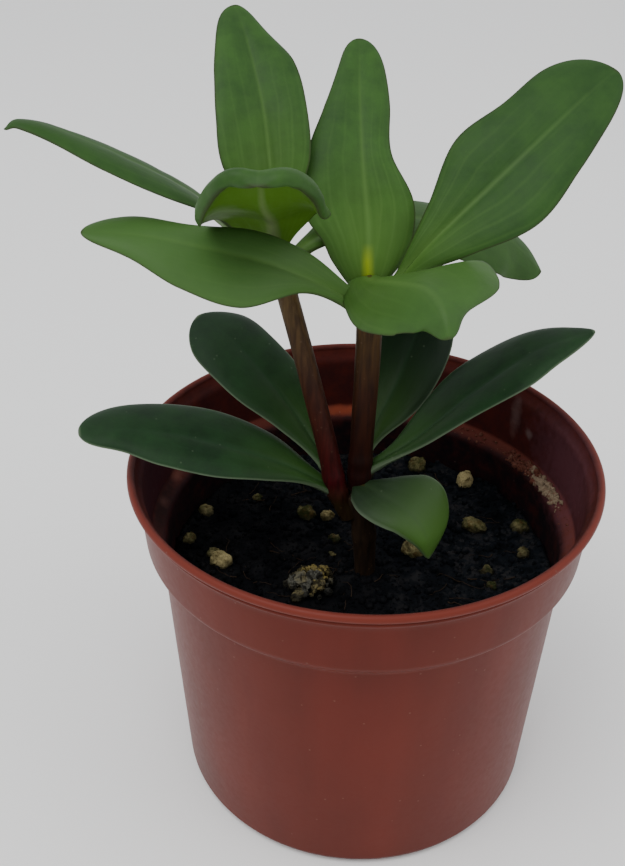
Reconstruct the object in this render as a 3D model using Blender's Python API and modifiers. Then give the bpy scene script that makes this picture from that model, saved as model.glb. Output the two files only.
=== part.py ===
"""A peperomia with two leafy young stems in a small moulded nursery pot.

Metres, +Z up. The origin is the centre of the pot's flat base. The viewer of the usual picture
stands on the -Y side, so "left" is -X, "front" is -Y and "back" is +Y.
"""
import math
import random

import bmesh
import bpy
import numpy as np
from mathutils import Matrix, Vector

MM = 0.001
GAP = 0.3 * MM            # clear space between pieces that touch on the real plant
GOLDEN_ANGLE = 2.4        # radians: spreads grains evenly over a round patch

# The pot, a thin moulding: a rolled lip, an upright band, a step in, a tapering wall.
POT_HEIGHT = 69.0 * MM
LIP_RADIUS = 42.5 * MM
LIP_HEIGHT = 1.5 * MM
LIP_FLARE = 3.0 * MM      # the wall flares out to the lip over this height
BAND_TOP_RADIUS = 40.8 * MM
BAND_FOOT_RADIUS = 39.9 * MM
BAND_HEIGHT = 14.3 * MM
STEP_IN = 2.5 * MM
STEP_DROP = 2.0 * MM
BASE_RADIUS = 34.1 * MM
BASE_EDGE = 1.3 * MM      # the rounded edge under the wall
WALL = 1.0 * MM
FLOOR = 1.6 * MM
POT_SIDES = 56
DRAIN_HOLES = 6
DRAIN_RADIUS = 3.0 * MM
DRAIN_CIRCLE = 23.0 * MM

# The soil fills the pot up to below its inner ledge.
SOIL_TOP = 46.0 * MM
SOIL_WAVE = 0.4 * MM
SOIL_CLEAR = 0.4 * MM     # between the soil and the pot's wall
SOIL_RINGS = 7
SOIL_SIDES = 32
HOLE_FLOOR = 30.0 * MM    # the old stem's hole ends here

# Pale perlite grains in the soil's surface: x, y and diameter in millimetres.
GRAINS = (
    (22.0, 24.0, 4.0), (22.5, 10.0, 4.2), (31.5, 10.0, 3.4), (31.0, 2.0, 2.6), (10.0, 1.5, 4.6),
    (12.5, 30.0, 3.4), (-10.5, 13.0, 3.2), (-6.5, 12.0, 2.4), (-5.0, 5.5, 2.6), (-5.5, 0.5, 2.6),
    (-26.5, -2.0, 3.8), (-28.0, 0.5, 2.8), (-33.0, 4.5, 2.8), (-30.5, 14.0, 3.0), (-20.5, 18.0, 2.2),
    (23.5, -3.5, 2.2), (24.0, -8.0, 2.4), (3.0, -24.0, 2.6), (-18.0, -20.0, 2.8), (16.0, -18.0, 2.4),
    (2.0, 27.0, 2.6),
)
GRAIN_SHOWS = 0.62        # share of a grain's height that stands out of the soil

# One crusty clump of larger grains: its centre, how far it spreads, its grains' sizes and how high
# their middles lie, in millimetres.
CLUMP_CENTRE = (-9.5, -8.6)
CLUMP_SPREAD = 3.3
CLUMP_GRAINS = 11
CLUMP_SIZES = (2.8, 4.2)
CLUMP_LIFTS = (0.6, 2.0)
CLUMP_LEVEL = 5.5 * MM    # the soil is level this far from the clump's centre

# Stems: points along the middle and the radius at the foot and at the head, in millimetres.
STEMS = {
    "old_stem": {
        "path": ((0.8, -4.2, 31.0), (0.6, -4.2, 44.0), (0.2, -4.2, 54.0), (-1.0, -4.0, 64.0)),
        "radius": (1.6, 2.3), "dome": 0.6,
    },
    "left_stem": {
        "path": ((-2.6, -4.2, 59.5), (-5.0, -4.0, 65.0), (-7.2, -3.5, 75.0), (-10.8, -2.5, 90.0),
                 (-14.4, -1.0, 104.0), (-16.0, 0.0, 109.8)),
        "radius": (1.9, 1.7), "dome": 1.4,
    },
    "right_stem": {
        "path": ((-1.2, -3.8, 65.2), (-0.8, -3.4, 78.0), (-0.4, -3.0, 92.0), (-0.4, -3.0, 102.8)),
        "radius": (2.0, 2.2), "dome": 1.2,
    },
}
STEM_SIDES = 12
STEM_STEPS = 12

# Leaves. A leaf is a blade along a midrib:
#   midrib       points from foot to tip, in millimetres
#   face         the way the upper side looks, at the foot and at the tip
#   left, right  half-widths in millimetres at the STATIONS, left and right as seen from
#                above by someone who looks from the foot to the tip
#   fold         how far each half rises from flat, in degrees, spread evenly from foot to tip
#   curl         how much more it rises (or, below 0, droops) by the margin, in degrees
#   roll         1 bends the half evenly; more leaves it flatter and bends it near its margin
#   stems        the stems that its foot is cut back to
STATIONS = (0.0, 0.12, 0.3, 0.5, 0.7, 0.86, 1.0)
LEAF_THICKNESS = 1.3 * MM
LEAF_ROWS = 10
LEAF_COLUMNS = 4
LEAVES = {
    "left_head_back_leaf": {
        "stems": ("left_stem",),
        "midrib": ((-16, 1.3, 110.4), (-16.6, 4.5, 119.5), (-18, 10, 129), (-20.5, 17, 136.5),
                   (-23, 23.6, 141.8)),
        "face": ((0.1, -0.9, 0.3), (0.26, -0.8, 0.54)),
        "left": (1.2, 3.6, 8, 8, 6.6, 5, 4), "right": (1.2, 3.2, 6.5, 7, 6.6, 3.8, 2.6),
        "fold": (30, 18, 5), "curl": (-15, -15),
    },
    "left_head_left_leaf": {
        "stems": ("left_stem",),
        "midrib": ((-15.2, 0, 105.6), (-21.5, 2, 111.1), (-28, -0.8, 118.2), (-36, -4.5, 124.6),
                   (-46.5, -6.5, 130.4), (-52.5, -7.7, 132.7), (-54.8, -8.2, 131.8)),
        "face": ((0.3, 0.1, 0.9), (0.3, 0.1, 0.9)),
        "left": (1.2, 1.6, 3.2, 6.4, 5.6, 3.6, 2.4), "right": (1.2, 1.8, 5.4, 6.8, 6.8, 5.2, 3.5),
        "fold": (10, -5), "curl": (-15, -25),
    },
    "left_head_front_leaf": {
        "stems": ("left_stem",),
        "midrib": ((-16, -0.9, 109.8), (-16.2, -3.5, 115.6), (-16.5, -8.8, 119.5), (-17, -17, 124.8),
                   (-17, -22.5, 130.2), (-17, -25.5, 132.2), (-17.2, -27.6, 131.2)),
        "face": ((-0.15, 0.3, 1), (-0.15, 0.2, 1)),
        "left": (2.2, 4.6, 8.2, 10.4, 11.2, 9.6, 7.2), "right": (1.4, 3.6, 7.6, 10, 10.6, 8.6, 6.4),
        "fold": (20, 8, 4), "fold_left": (20, 3, -6), "curl": (-10, -60, -115), "roll": 3,
    },
    "left_head_right_leaf": {
        "stems": ("left_stem",),
        "midrib": ((-14.8, -0.6, 106), (-10, 3.8, 109), (-3, 9, 110.2), (10, 15.5, 108), (23.5, 20, 103),
                   (31.5, 20, 96.5)),
        "face": ((-0.1, -0.2, 1), (0.1, -0.3, 1)),
        "left": (1.2, 2, 6, 8.5, 8, 6, 4.5), "right": (1.2, 1.8, 5, 7, 8.5, 8, 5.5),
        "fold": (5, -5), "curl": (-15, -25),
    },
    "right_head_back_leaf": {
        "stems": ("right_stem",),
        "midrib": ((-0.8, 0.6, 104.8), (-1, 1.6, 107.5), (-1, 3.8, 112.5), (-2, 9, 121.5),
                   (-2.5, 17.5, 129.5), (-2.5, 26, 136)),
        "face": ((0.1, -0.9, 0.3), (0.03, -0.84, 0.54)),
        "left": (4.2, 7.6, 10.4, 9, 5.8, 3.8, 3.3), "right": (3, 5.6, 6.9, 4.6, 5, 4.6, 4),
        "fold": (12, 12, 6), "curl": (-15, -15),
    },
    "right_head_right_leaf": {
        "stems": ("right_stem",),
        "midrib": ((0.9, -2, 101), (4.8, -1, 105.6), (9, -1, 111.2), (20.5, 2.5, 122), (30.5, 8, 130),
                   (38, 13.5, 135)),
        "face": ((-0.3, -0.7, 0.5), (-0.4, -0.75, 0.5)),
        "left": (1.2, 1.4, 4.6, 9.6, 8.8, 9, 8.4), "right": (1.2, 1.6, 6, 10, 8, 6, 4.5),
        "fold": (20, 5), "curl": (-15, -15),
    },
    "right_head_front_leaf": {
        "stems": ("right_stem",),
        "midrib": ((-0.6, -1.4, 104.8), (0, -5.6, 106.4), (3, -11.5, 109.2), (7, -17, 111),
                   (9.3, -22, 110.2), (10, -25.5, 107.5)),
        "face": ((0, 0, 1), (0, 0, 1)),
        "left": (1.4, 3.2, 8.2, 15.6, 12.6, 4, 2.2), "right": (1.4, 3.2, 7.6, 8.5, 7.5, 5.5, 3),
        "fold": (6, 7, -8), "fold_right": (-35, -38, -40), "curl": (-10, -20),
    },
    "right_head_left_leaf": {
        "stems": ("right_stem",),
        "midrib": ((-0.9, -3.5, 98.6), (-5.2, -5.8, 104.1), (-15.5, -10.2, 111.2), (-25, -11.8, 114.5),
                   (-35, -12.6, 116.9), (-44.3, -12.4, 117.7)),
        "face": ((0, -0.6, 0.8), (0.1, -0.3, 0.9)),
        "left": (1.6, 1.6, 2.6, 8.2, 7.2, 3.8, 2.2), "right": (1.2, 2.2, 4.8, 5.6, 4.6, 5.4, 5),
        "fold": (15, 0, 0), "fold_right": (25, 12, 0), "curl": (-15, -25),
    },
    "lower_back_left_leaf": {
        "stems": ("left_stem",),
        "midrib": ((-5.8, -3.8, 67.8), (-13, 4, 75.6), (-19, 10, 80.5), (-25, 15, 84.5), (-31, 19.5, 87)),
        "face": ((0.2, -0.4, 0.8), (0.2, -0.4, 0.8)),
        "left": (1.5, 2, 4.5, 7.2, 7.8, 7.4, 5.5), "right": (1.2, 2.6, 5.4, 6.8, 7.2, 7.2, 5.2),
        "fold": (20, 0), "curl": (-10, -20),
    },
    "lower_left_leaf": {
        "stems": ("left_stem",),
        "midrib": ((-4.7, -4.1, 64.2), (-15.5, -4.2, 70.3), (-29, -5, 75.5), (-40, -6, 78), (-49.2, -8, 79)),
        "face": ((0.1, -0.3, 0.9), (0.1, -0.3, 0.9)),
        "left": (1.2, 1.6, 4.4, 6.6, 6.2, 4.2, 3.5), "right": (1.2, 2.4, 6, 7.8, 7.5, 6.6, 5.4),
        "fold": (10, 0), "curl": (-10, -20),
    },
    "lower_back_right_leaf": {
        "stems": ("right_stem",),
        "midrib": ((-0.9, -3.5, 71), (2.6, 4.6, 75), (6, 10.5, 79.2), (9.5, 17, 86), (12, 22.5, 91)),
        "face": ((-0.1, -0.8, 0.5), (-0.1, -0.8, 0.5)),
        "left": (1.2, 1.8, 4.6, 7.5, 8, 6.5, 4), "right": (1.2, 1.8, 4.6, 6.5, 7.2, 6.6, 4.6),
        "fold": (20, 0), "curl": (-10, -20),
    },
    "lower_right_leaf": {
        "stems": ("right_stem",),
        "midrib": ((-1, -3.6, 68), (8.5, -2.6, 74.4), (18, -0.4, 82.4), (28, 2, 89.4), (38.5, 3.5, 93.5)),
        "face": ((-0.5, -0.2, 0.8), (-0.5, -0.2, 0.8)),
        "left": (1.2, 1.8, 5.4, 8, 7.5, 6, 3), "right": (1.2, 1.4, 3.2, 5, 6.2, 4.2, 2),
        "fold": (20, 0), "curl": (-10, -20),
    },
    "lower_front_leaf": {
        "stems": ("right_stem", "left_stem", "old_stem"),
        "midrib": ((-1.2, -4.4, 65.9), (1, -7.5, 67.2), (3.7, -10.5, 67.6), (7.4, -13.4, 66.4),
                   (10, -15.2, 63), (10.9, -16, 59)),
        "face": ((0.1, -0.5, 0.9), (0.5, -0.5, 0.6)),
        "left": (1.2, 2.4, 6.6, 9.6, 10.2, 8.8, 4.4), "right": (1.2, 3.8, 5.4, 5, 3.6, 2.2, 1),
        "fold": (10, -10), "curl": (-10, -20),
    },
}

# Colours (linear red, green, blue), roughness.
FINISHES = {
    "pot": ((0.13, 0.03, 0.018), 0.5),
    "soil": ((0.008, 0.009, 0.011), 0.95),
    "perlite": ((0.5, 0.45, 0.3), 0.9),
    "old_bark": ((0.03, 0.018, 0.01), 0.8),
    "red_stem": ((0.06, 0.02, 0.014), 0.55),
    "head_leaf": ((0.055, 0.13, 0.03), 0.45),
    "lower_leaf": ((0.02, 0.06, 0.03), 0.45),
}


def clear_scene():
    """Remove what the scene starts with."""
    for old in list(bpy.data.objects):
        bpy.data.objects.remove(old)


def finish(name):
    """The material for one finish, made once."""
    known = bpy.data.materials.get(name)
    if known:
        return known
    colour, roughness = FINISHES[name]
    material = bpy.data.materials.new(name)
    material.use_nodes = True
    shader = material.node_tree.nodes["Principled BSDF"]
    shader.inputs["Base Color"].default_value = (*colour, 1.0)
    shader.inputs["Roughness"].default_value = roughness
    shader.inputs["Metallic"].default_value = 0.0
    return material


def add_object(name, mesh, collection, finish_name=None):
    """Put a mesh in the scene as one named object."""
    piece = bpy.data.objects.new(name, mesh)
    collection.objects.link(piece)
    if finish_name:
        mesh.materials.clear()
        mesh.materials.append(finish(finish_name))
    else:
        piece.hide_render = True
        piece.display_type = "WIRE"
    return piece


def evaluated_mesh(piece):
    """The mesh of an object with its modifiers applied."""
    graph = bpy.context.evaluated_depsgraph_get()
    return bpy.data.meshes.new_from_object(piece.evaluated_get(graph))


def replace_with_result(piece):
    """Keep an object's evaluated shape and drop its modifiers."""
    mesh = evaluated_mesh(piece)
    piece.modifiers.clear()
    piece.data = mesh
    return piece


def boolean(piece, operation, tool):
    """Cut a piece by, or join it with, an object or a whole collection."""
    step = piece.modifiers.new(operation.lower(), "BOOLEAN")
    step.operation = operation
    if isinstance(tool, bpy.types.Collection):
        step.operand_type = "COLLECTION"
        step.collection = tool
    else:
        step.object = tool
    return step


def smooth(points, places):
    """A smooth curve through points: Catmull-Rom, read at places from 0 to the last point's number."""
    points = np.asarray(points, float).reshape(len(points), -1)
    ends = np.vstack([2 * points[0] - points[1], points, 2 * points[-1] - points[-2]])
    first = np.clip(np.floor(places).astype(int), 0, len(points) - 2)
    part = (np.asarray(places) - first)[:, None]
    a, b, c, d = (ends[first + k] for k in range(4))
    return 0.5 * (2 * b + (c - a) * part + (2 * a - 5 * b + 4 * c - d) * part ** 2
                  + (3 * b - a - 3 * c + d) * part ** 3)


def along_path(points, shares):
    """Points at given shares of the length of the smooth curve through points."""
    fine = smooth(points, np.linspace(0, len(points) - 1, 401))
    run = np.concatenate([[0], np.cumsum(np.linalg.norm(np.diff(fine, axis=0), axis=1))])
    places = np.asarray(shares) * run[-1]
    return np.stack([np.interp(places, run, fine[:, k]) for k in range(3)], axis=1)


def turned(name, profile, sides, collection, finish_name):
    """A solid of revolution. The profile of (radius, height) points starts and ends on the axis and
    runs down its outer side."""
    mesh = bpy.data.meshes.new(name)
    edges = [(k, k + 1) for k in range(len(profile) - 1)]
    mesh.from_pydata([(r, 0.0, z) for r, z in profile], edges, [])
    piece = add_object(name, mesh, collection, finish_name)
    screw = piece.modifiers.new("turn", "SCREW")
    screw.steps = sides
    screw.render_steps = sides
    screw.use_merge_vertices = True
    screw.merge_threshold = 0.00005
    screw.use_smooth_shade = True
    return piece


def arc(centre, radius, start, stop, steps):
    """Points on an arc in the profile plane, angles in degrees."""
    angles = np.radians(np.linspace(start, stop, steps))
    return [(centre[0] + radius * math.cos(a), centre[1] + radius * math.sin(a)) for a in angles]


def wall_radius(height):
    """The outer radius of the tapering wall at a height above the base."""
    top_height = POT_HEIGHT - BAND_HEIGHT
    top_radius = BAND_FOOT_RADIUS - STEP_IN
    return BASE_RADIUS + (top_radius - BASE_RADIUS) * height / top_height


def make_pot(collection, cutters):
    """The nursery pot, with a ring of drainage holes through its floor."""
    lip = 0.5 * LIP_HEIGHT
    lip_centre = (LIP_RADIUS - lip, POT_HEIGHT - lip)
    band_foot = POT_HEIGHT - BAND_HEIGHT
    step_foot = band_foot - STEP_DROP
    inside = [
        (0.0, FLOOR),
        (wall_radius(FLOOR) - WALL, FLOOR),
        (wall_radius(step_foot) - WALL, step_foot + 0.8 * MM),
        (BAND_FOOT_RADIUS - WALL, band_foot + 2.2 * MM),
        (BAND_TOP_RADIUS - WALL, POT_HEIGHT - LIP_FLARE),
    ]
    outside = (
        arc(lip_centre, lip, 200, -60, 7)
        + [(BAND_TOP_RADIUS + 0.2 * MM, POT_HEIGHT - LIP_FLARE + 0.6 * MM),
           (BAND_TOP_RADIUS - 0.1 * MM, POT_HEIGHT - LIP_FLARE - 0.8 * MM),
           (BAND_FOOT_RADIUS, band_foot + 0.8 * MM),
           (BAND_FOOT_RADIUS - 0.6 * MM, band_foot),
           (wall_radius(step_foot), step_foot)]
        + arc((BASE_RADIUS - BASE_EDGE, BASE_EDGE), BASE_EDGE, 0, -90, 4)
        + [(0.0, 0.0)]
    )
    pot = turned("pot", inside + outside, POT_SIDES, collection, "pot")
    for k in range(DRAIN_HOLES):
        angle = 2 * math.pi * (k + 0.5) / DRAIN_HOLES
        place = Vector((DRAIN_CIRCLE * math.cos(angle), DRAIN_CIRCLE * math.sin(angle), 0.5 * FLOOR))
        hole = bmesh.new()
        bmesh.ops.create_cone(hole, cap_ends=True, segments=16, radius1=DRAIN_RADIUS,
                              radius2=DRAIN_RADIUS, depth=3 * FLOOR, matrix=Matrix.Translation(place))
        mesh = bpy.data.meshes.new("drain_hole")
        hole.to_mesh(mesh)
        hole.free()
        add_object("drain_hole", mesh, cutters)
    boolean(pot, "DIFFERENCE", cutters)
    return pot


def soil_height(x, y):
    """The soil's surface: low waves, level under the clump of perlite."""
    wave = math.sin(x / (7 * MM) + 1.0) * math.cos(y / (9 * MM)) + 0.6 * math.sin((x - y) / (5 * MM))
    away = math.hypot(x - CLUMP_CENTRE[0] * MM, y - CLUMP_CENTRE[1] * MM)
    level = min(max((away - CLUMP_LEVEL) / CLUMP_LEVEL, 0.0), 1.0)
    return SOIL_TOP + SOIL_WAVE * wave * level


def make_grain(place, diameter, draw):
    """One angular grain as a mesh: a coarse ball with its corners moved at random."""
    ball = bmesh.new()
    bmesh.ops.create_icosphere(ball, subdivisions=2, radius=0.5 * diameter)
    for corner in ball.verts:
        corner.co *= draw.uniform(0.86, 1.1)
        corner.co += Vector(place)
    mesh = bpy.data.meshes.new("grain")
    ball.to_mesh(mesh)
    ball.free()
    return mesh


def make_soil(collection, grains, cutters):
    """The potting soil, with its grains of perlite and the hole that the old stem stands in."""
    edge = wall_radius(SOIL_TOP) - WALL - SOIL_CLEAR
    bottom = FLOOR + GAP
    rings = [(edge * k / SOIL_RINGS, SOIL_TOP) for k in range(SOIL_RINGS + 1)]
    profile = rings + [(wall_radius(bottom) - WALL - SOIL_CLEAR, bottom), (0.0, bottom)]
    soil = replace_with_result(turned("soil", profile, SOIL_SIDES, collection, "soil"))
    for corner in soil.data.vertices:
        if corner.co.z > SOIL_TOP - 0.1 * MM:
            corner.co.z = soil_height(corner.co.x, corner.co.y)
    draw = random.Random(11)
    for x, y, size in GRAINS:
        x, y, size = x * MM, y * MM, size * MM
        place = (x, y, soil_height(x, y) + (GRAIN_SHOWS - 0.5) * size)
        add_object("grain", make_grain(place, size, draw), grains)
    boolean(soil, "UNION", grains)
    foot = STEMS["old_stem"]["path"][0]
    hole = bmesh.new()
    depth = 2 * (SOIL_TOP - HOLE_FLOOR)
    place = Matrix.Translation((foot[0] * MM, foot[1] * MM, SOIL_TOP))
    radius = STEMS["old_stem"]["radius"][1] * MM + GAP
    bmesh.ops.create_cone(hole, cap_ends=True, segments=16, radius1=radius, radius2=radius,
                          depth=depth, matrix=place)
    mesh = bpy.data.meshes.new("stem_hole")
    hole.to_mesh(mesh)
    hole.free()
    boolean(soil, "DIFFERENCE", add_object("stem_hole", mesh, cutters))
    return soil


def make_clump(collection, grains, cutters):
    """Large grains of perlite, crusted together, that lie on the soil."""
    draw = random.Random(4)
    centre = Vector((CLUMP_CENTRE[0] * MM, CLUMP_CENTRE[1] * MM, SOIL_TOP + GAP))
    pieces = []
    for k in range(CLUMP_GRAINS):
        angle = k * GOLDEN_ANGLE
        reach = CLUMP_SPREAD * MM * math.sqrt(k / (CLUMP_GRAINS - 1))
        size = draw.uniform(*CLUMP_SIZES) * MM
        lift = draw.uniform(*CLUMP_LIFTS) * MM * (1.2 - reach / (CLUMP_SPREAD * MM))
        place = centre + Vector((reach * math.cos(angle), reach * math.sin(angle), lift))
        pieces.append(make_grain(place, size, draw))
    clump = add_object("perlite_clump", pieces[0], collection, "perlite")
    for mesh in pieces[1:]:
        add_object("clump_grain", mesh, grains)
    boolean(clump, "UNION", grains)
    slab = bmesh.new()
    bmesh.ops.create_cube(slab, size=20 * MM, matrix=Matrix.Translation(centre - Vector((0, 0, 10 * MM))))
    mesh = bpy.data.meshes.new("clump_floor")
    slab.to_mesh(mesh)
    slab.free()
    boolean(clump, "DIFFERENCE", add_object("clump_floor", mesh, cutters))
    return clump


def tube(name, stem, extra, collection, finish_name=None):
    """A round stem along its path, with a domed head, as a closed mesh; extra millimetres thicker
    and longer all round."""
    shares = np.linspace(0, 1, STEM_STEPS)
    middle = along_path(stem["path"], shares)
    radius = np.interp(shares, [0, 1], stem["radius"]) + extra
    middle[0] += extra * (middle[0] - middle[1]) / np.linalg.norm(middle[0] - middle[1])
    ahead = middle[-1] - middle[-2]
    ahead /= np.linalg.norm(ahead)
    for rise, share in ((0.45, 0.85), (0.8, 0.5)):
        middle = np.vstack([middle, middle[STEM_STEPS - 1] + ahead * (stem["dome"] + extra) * rise])
        radius = np.append(radius, radius[STEM_STEPS - 1] * share)
    curve = bpy.data.curves.new(name, "CURVE")
    curve.dimensions = "3D"
    curve.bevel_depth = MM
    curve.bevel_resolution = (STEM_SIDES - 4) // 2
    curve.use_fill_caps = True
    spline = curve.splines.new("POLY")
    spline.points.add(len(middle) - 1)
    for point, place, size in zip(spline.points, middle, radius):
        point.co = (*(place * MM), 1.0)
        point.radius = size
    drawn = bpy.data.objects.new(name + "_line", curve)
    collection.objects.link(drawn)
    mesh = evaluated_mesh(drawn)
    bpy.data.objects.remove(drawn)
    body = bmesh.new()
    body.from_mesh(mesh)
    bmesh.ops.remove_doubles(body, verts=body.verts, dist=0.02 * MM)
    body.to_mesh(mesh)
    body.free()
    mesh.shade_smooth()
    return add_object(name, mesh, collection, finish_name)


def make_stems(collection, cutters):
    """The old stem and the two young ones, each young one seated on what it grows from."""
    sleeves = {}
    for name, stem in STEMS.items():
        bark = "old_bark" if name == "old_stem" else "red_stem"
        tube(name, stem, 0.0, collection, bark)
        sleeves[name] = tube(name + "_sleeve", stem, GAP / MM, cutters)
    boolean(collection.objects["right_stem"], "DIFFERENCE", sleeves["old_stem"])
    boolean(collection.objects["left_stem"], "DIFFERENCE", sleeves["old_stem"])
    boolean(collection.objects["left_stem"], "DIFFERENCE", sleeves["right_stem"])
    return sleeves


def blade_points(leaf, shares, across):
    """Points on a leaf's middle surface: shares run foot to tip, across from -1 (left) to 1 (right)."""
    middle = along_path(leaf["midrib"], shares)
    step = 0.02
    ahead = along_path(leaf["midrib"], np.clip(shares + step, 0, 1))
    behind = along_path(leaf["midrib"], np.clip(shares - step, 0, 1))
    run = ahead - behind
    run /= np.linalg.norm(run, axis=1)[:, None]
    foot_face, tip_face = (np.array(face, float) for face in leaf["face"])
    up = foot_face * (1 - shares)[:, None] + tip_face * shares[:, None]
    up -= (up * run).sum(axis=1)[:, None] * run
    up /= np.linalg.norm(up, axis=1)[:, None]
    sideways = np.cross(run, up)
    places = np.interp(shares, STATIONS, range(len(STATIONS)))
    round_tip = np.sqrt(1 - shares ** 14)
    points = np.array(middle)
    for sign, side in ((-1, "left"), (1, "right")):
        width = smooth(leaf[side], places)[:, 0] * round_tip
        fold = leaf.get("fold_" + side, leaf["fold"])
        slope = np.radians(np.interp(shares, np.linspace(0, 1, len(fold)), fold))
        curl = leaf["curl"]
        bend = np.radians(np.interp(shares, np.linspace(0, 1, len(curl)), curl))
        reach = np.clip(sign * across, 0, None)
        pieces = 10
        for k in range(pieces):
            angle = slope + bend * (reach * (k + 0.5) / pieces) ** leaf.get("roll", 1)
            step_out = (width * reach / pieces)[:, None]
            points += step_out * (sign * np.cos(angle)[:, None] * sideways + np.sin(angle)[:, None] * up)
    return points * MM


def make_leaf(name, leaf, sleeves, collection):
    """One succulent leaf: a grid laid on the blade's surface, thickened, and cut back to its stem."""
    sheet = bmesh.new()
    bmesh.ops.create_grid(sheet, x_segments=LEAF_COLUMNS, y_segments=LEAF_ROWS, size=1.0)
    across = np.array([corner.co.x for corner in sheet.verts])
    along = np.array([0.5 + 0.5 * corner.co.y for corner in sheet.verts])
    shares = 1 - (1 - along) ** 1.4
    for corner, place in zip(sheet.verts, blade_points(leaf, shares, across)):
        corner.co = place
    bmesh.ops.remove_doubles(sheet, verts=sheet.verts, dist=0.05 * MM)
    bmesh.ops.triangulate(sheet, faces=sheet.faces, quad_method="SHORT_EDGE")
    mesh = bpy.data.meshes.new(name)
    sheet.to_mesh(mesh)
    sheet.free()
    mesh.shade_smooth()
    colour = "lower_leaf" if name.startswith("lower") else "head_leaf"
    piece = add_object(name, mesh, collection, colour)
    thick = piece.modifiers.new("thickness", "SOLIDIFY")
    thick.thickness = LEAF_THICKNESS
    thick.offset = 0.0
    for stem_name in leaf["stems"]:
        boolean(piece, "DIFFERENCE", sleeves[stem_name])
    return piece


def new_collection(name):
    """An empty collection in the scene."""
    collection = bpy.data.collections.new(name)
    bpy.context.scene.collection.children.link(collection)
    return collection


def main():
    """Build every piece."""
    clear_scene()
    plant = new_collection("potted_peperomia")
    drains = new_collection("drain_cutters")
    soil_grains = new_collection("soil_grains")
    clump_grains = new_collection("clump_grains")
    cutters = new_collection("cutters")
    make_pot(plant, drains)
    make_soil(plant, soil_grains, cutters)
    make_clump(plant, clump_grains, cutters)
    sleeves = make_stems(plant, cutters)
    for name, leaf in LEAVES.items():
        make_leaf(name, leaf, sleeves, plant)


main()
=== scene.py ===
# %% [markdown]
# # A potted peperomia
# A small succulent house plant in the thin plastic pot that it was sold in. Two young red-brown stems
# grow from an old one. Each ends in a head of thick leaves in pairs, each pair at right angles to the
# one below.
#
# A plain model of the plant already exists as solids with exact sizes. This file imports it as a fixed
# frame, in metres with +Z up, and gives each solid a finer piece with a real finish. The viewer stands
# on the -Y side, so "left" is -X and "front" is -Y.

# %% The frame and the tools
import math
import random

import bmesh
import bpy
import numpy as np
from mathutils import Matrix, Vector, noise


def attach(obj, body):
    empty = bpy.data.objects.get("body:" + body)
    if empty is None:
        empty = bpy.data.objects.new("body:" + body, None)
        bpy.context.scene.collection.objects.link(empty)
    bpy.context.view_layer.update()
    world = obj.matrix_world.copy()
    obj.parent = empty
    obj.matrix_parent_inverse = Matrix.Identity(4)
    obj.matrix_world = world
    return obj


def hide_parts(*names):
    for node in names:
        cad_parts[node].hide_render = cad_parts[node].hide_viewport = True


MM = 0.001
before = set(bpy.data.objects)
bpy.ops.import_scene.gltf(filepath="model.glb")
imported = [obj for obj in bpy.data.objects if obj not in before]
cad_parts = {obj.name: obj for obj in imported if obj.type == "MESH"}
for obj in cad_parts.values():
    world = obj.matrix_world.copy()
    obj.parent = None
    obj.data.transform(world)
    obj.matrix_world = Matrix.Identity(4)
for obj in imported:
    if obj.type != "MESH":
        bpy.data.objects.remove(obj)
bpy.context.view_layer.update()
print("solids in the frame:", len(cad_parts))

# %% [markdown]
# ## The camera comes first
# The camera decides which details matter, so it is set before anything is made. It stands in front of
# the plant and looks down on it at 33.5 degrees from about 21 cm, near enough for the pot to narrow
# visibly towards its base. The sensor is 36 mm along the picture's long side.

# %% Camera
def add_piece(name, data):
    """Put a mesh, a lamp or a camera in the scene under a name."""
    piece = bpy.data.objects.new(name, data)
    bpy.context.scene.collection.objects.link(piece)
    return piece


AIM = Vector((-9.5, 0.0, 74.2)) * MM
DISTANCE = 212.5 * MM
LOOK_DOWN = math.radians(33.5)
ROLL = math.radians(0.7)
SENSOR, LENS = 36.0, 49.9      # mm

camera = add_piece("camera", bpy.data.cameras.new("camera"))
away = Vector((0, -math.cos(LOOK_DOWN), math.sin(LOOK_DOWN)))
tilt = Matrix.Rotation(math.radians(90) - LOOK_DOWN, 4, "X")
camera.matrix_world = Matrix.Translation(AIM + DISTANCE * away) @ tilt @ Matrix.Rotation(ROLL, 4, "Z")
camera.data.sensor_width = SENSOR
camera.data.lens = LENS
camera.data.clip_start = 0.01
bpy.context.scene.camera = camera
print("camera stands at", [round(v / MM, 1) for v in camera.location], "mm")

# %% [markdown]
# ## Nodes, colours and kept meshes
# Finishes and shapes are both made from node trees. One small function, add, adds a node, sets it and
# links it, so a tree reads from top to bottom like a recipe. It is told the node's kind, which may
# leave out ShaderNode and may end in a dot and an operation. Then come what feeds its inputs, in their
# order, or a dict that says which. A feed is a value, a hex colour, another node's output or a list of
# outputs. The words after that are the node's own properties.
#
# Colours are picked as the sRGB hex values that a paint program shows, and the renderer needs them
# linear, so one function turns them.

# %% Helpers for node trees
def linear(hex_colour):
    """An sRGB hex colour as linear red, green, blue and alpha."""
    shares = [int(hex_colour[k:k + 2], 16) / 255 for k in (1, 3, 5)]
    return tuple(s / 12.92 if s <= 0.04045 else ((s + 0.055) / 1.055) ** 2.4 for s in shares) + (1.0,)


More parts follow.
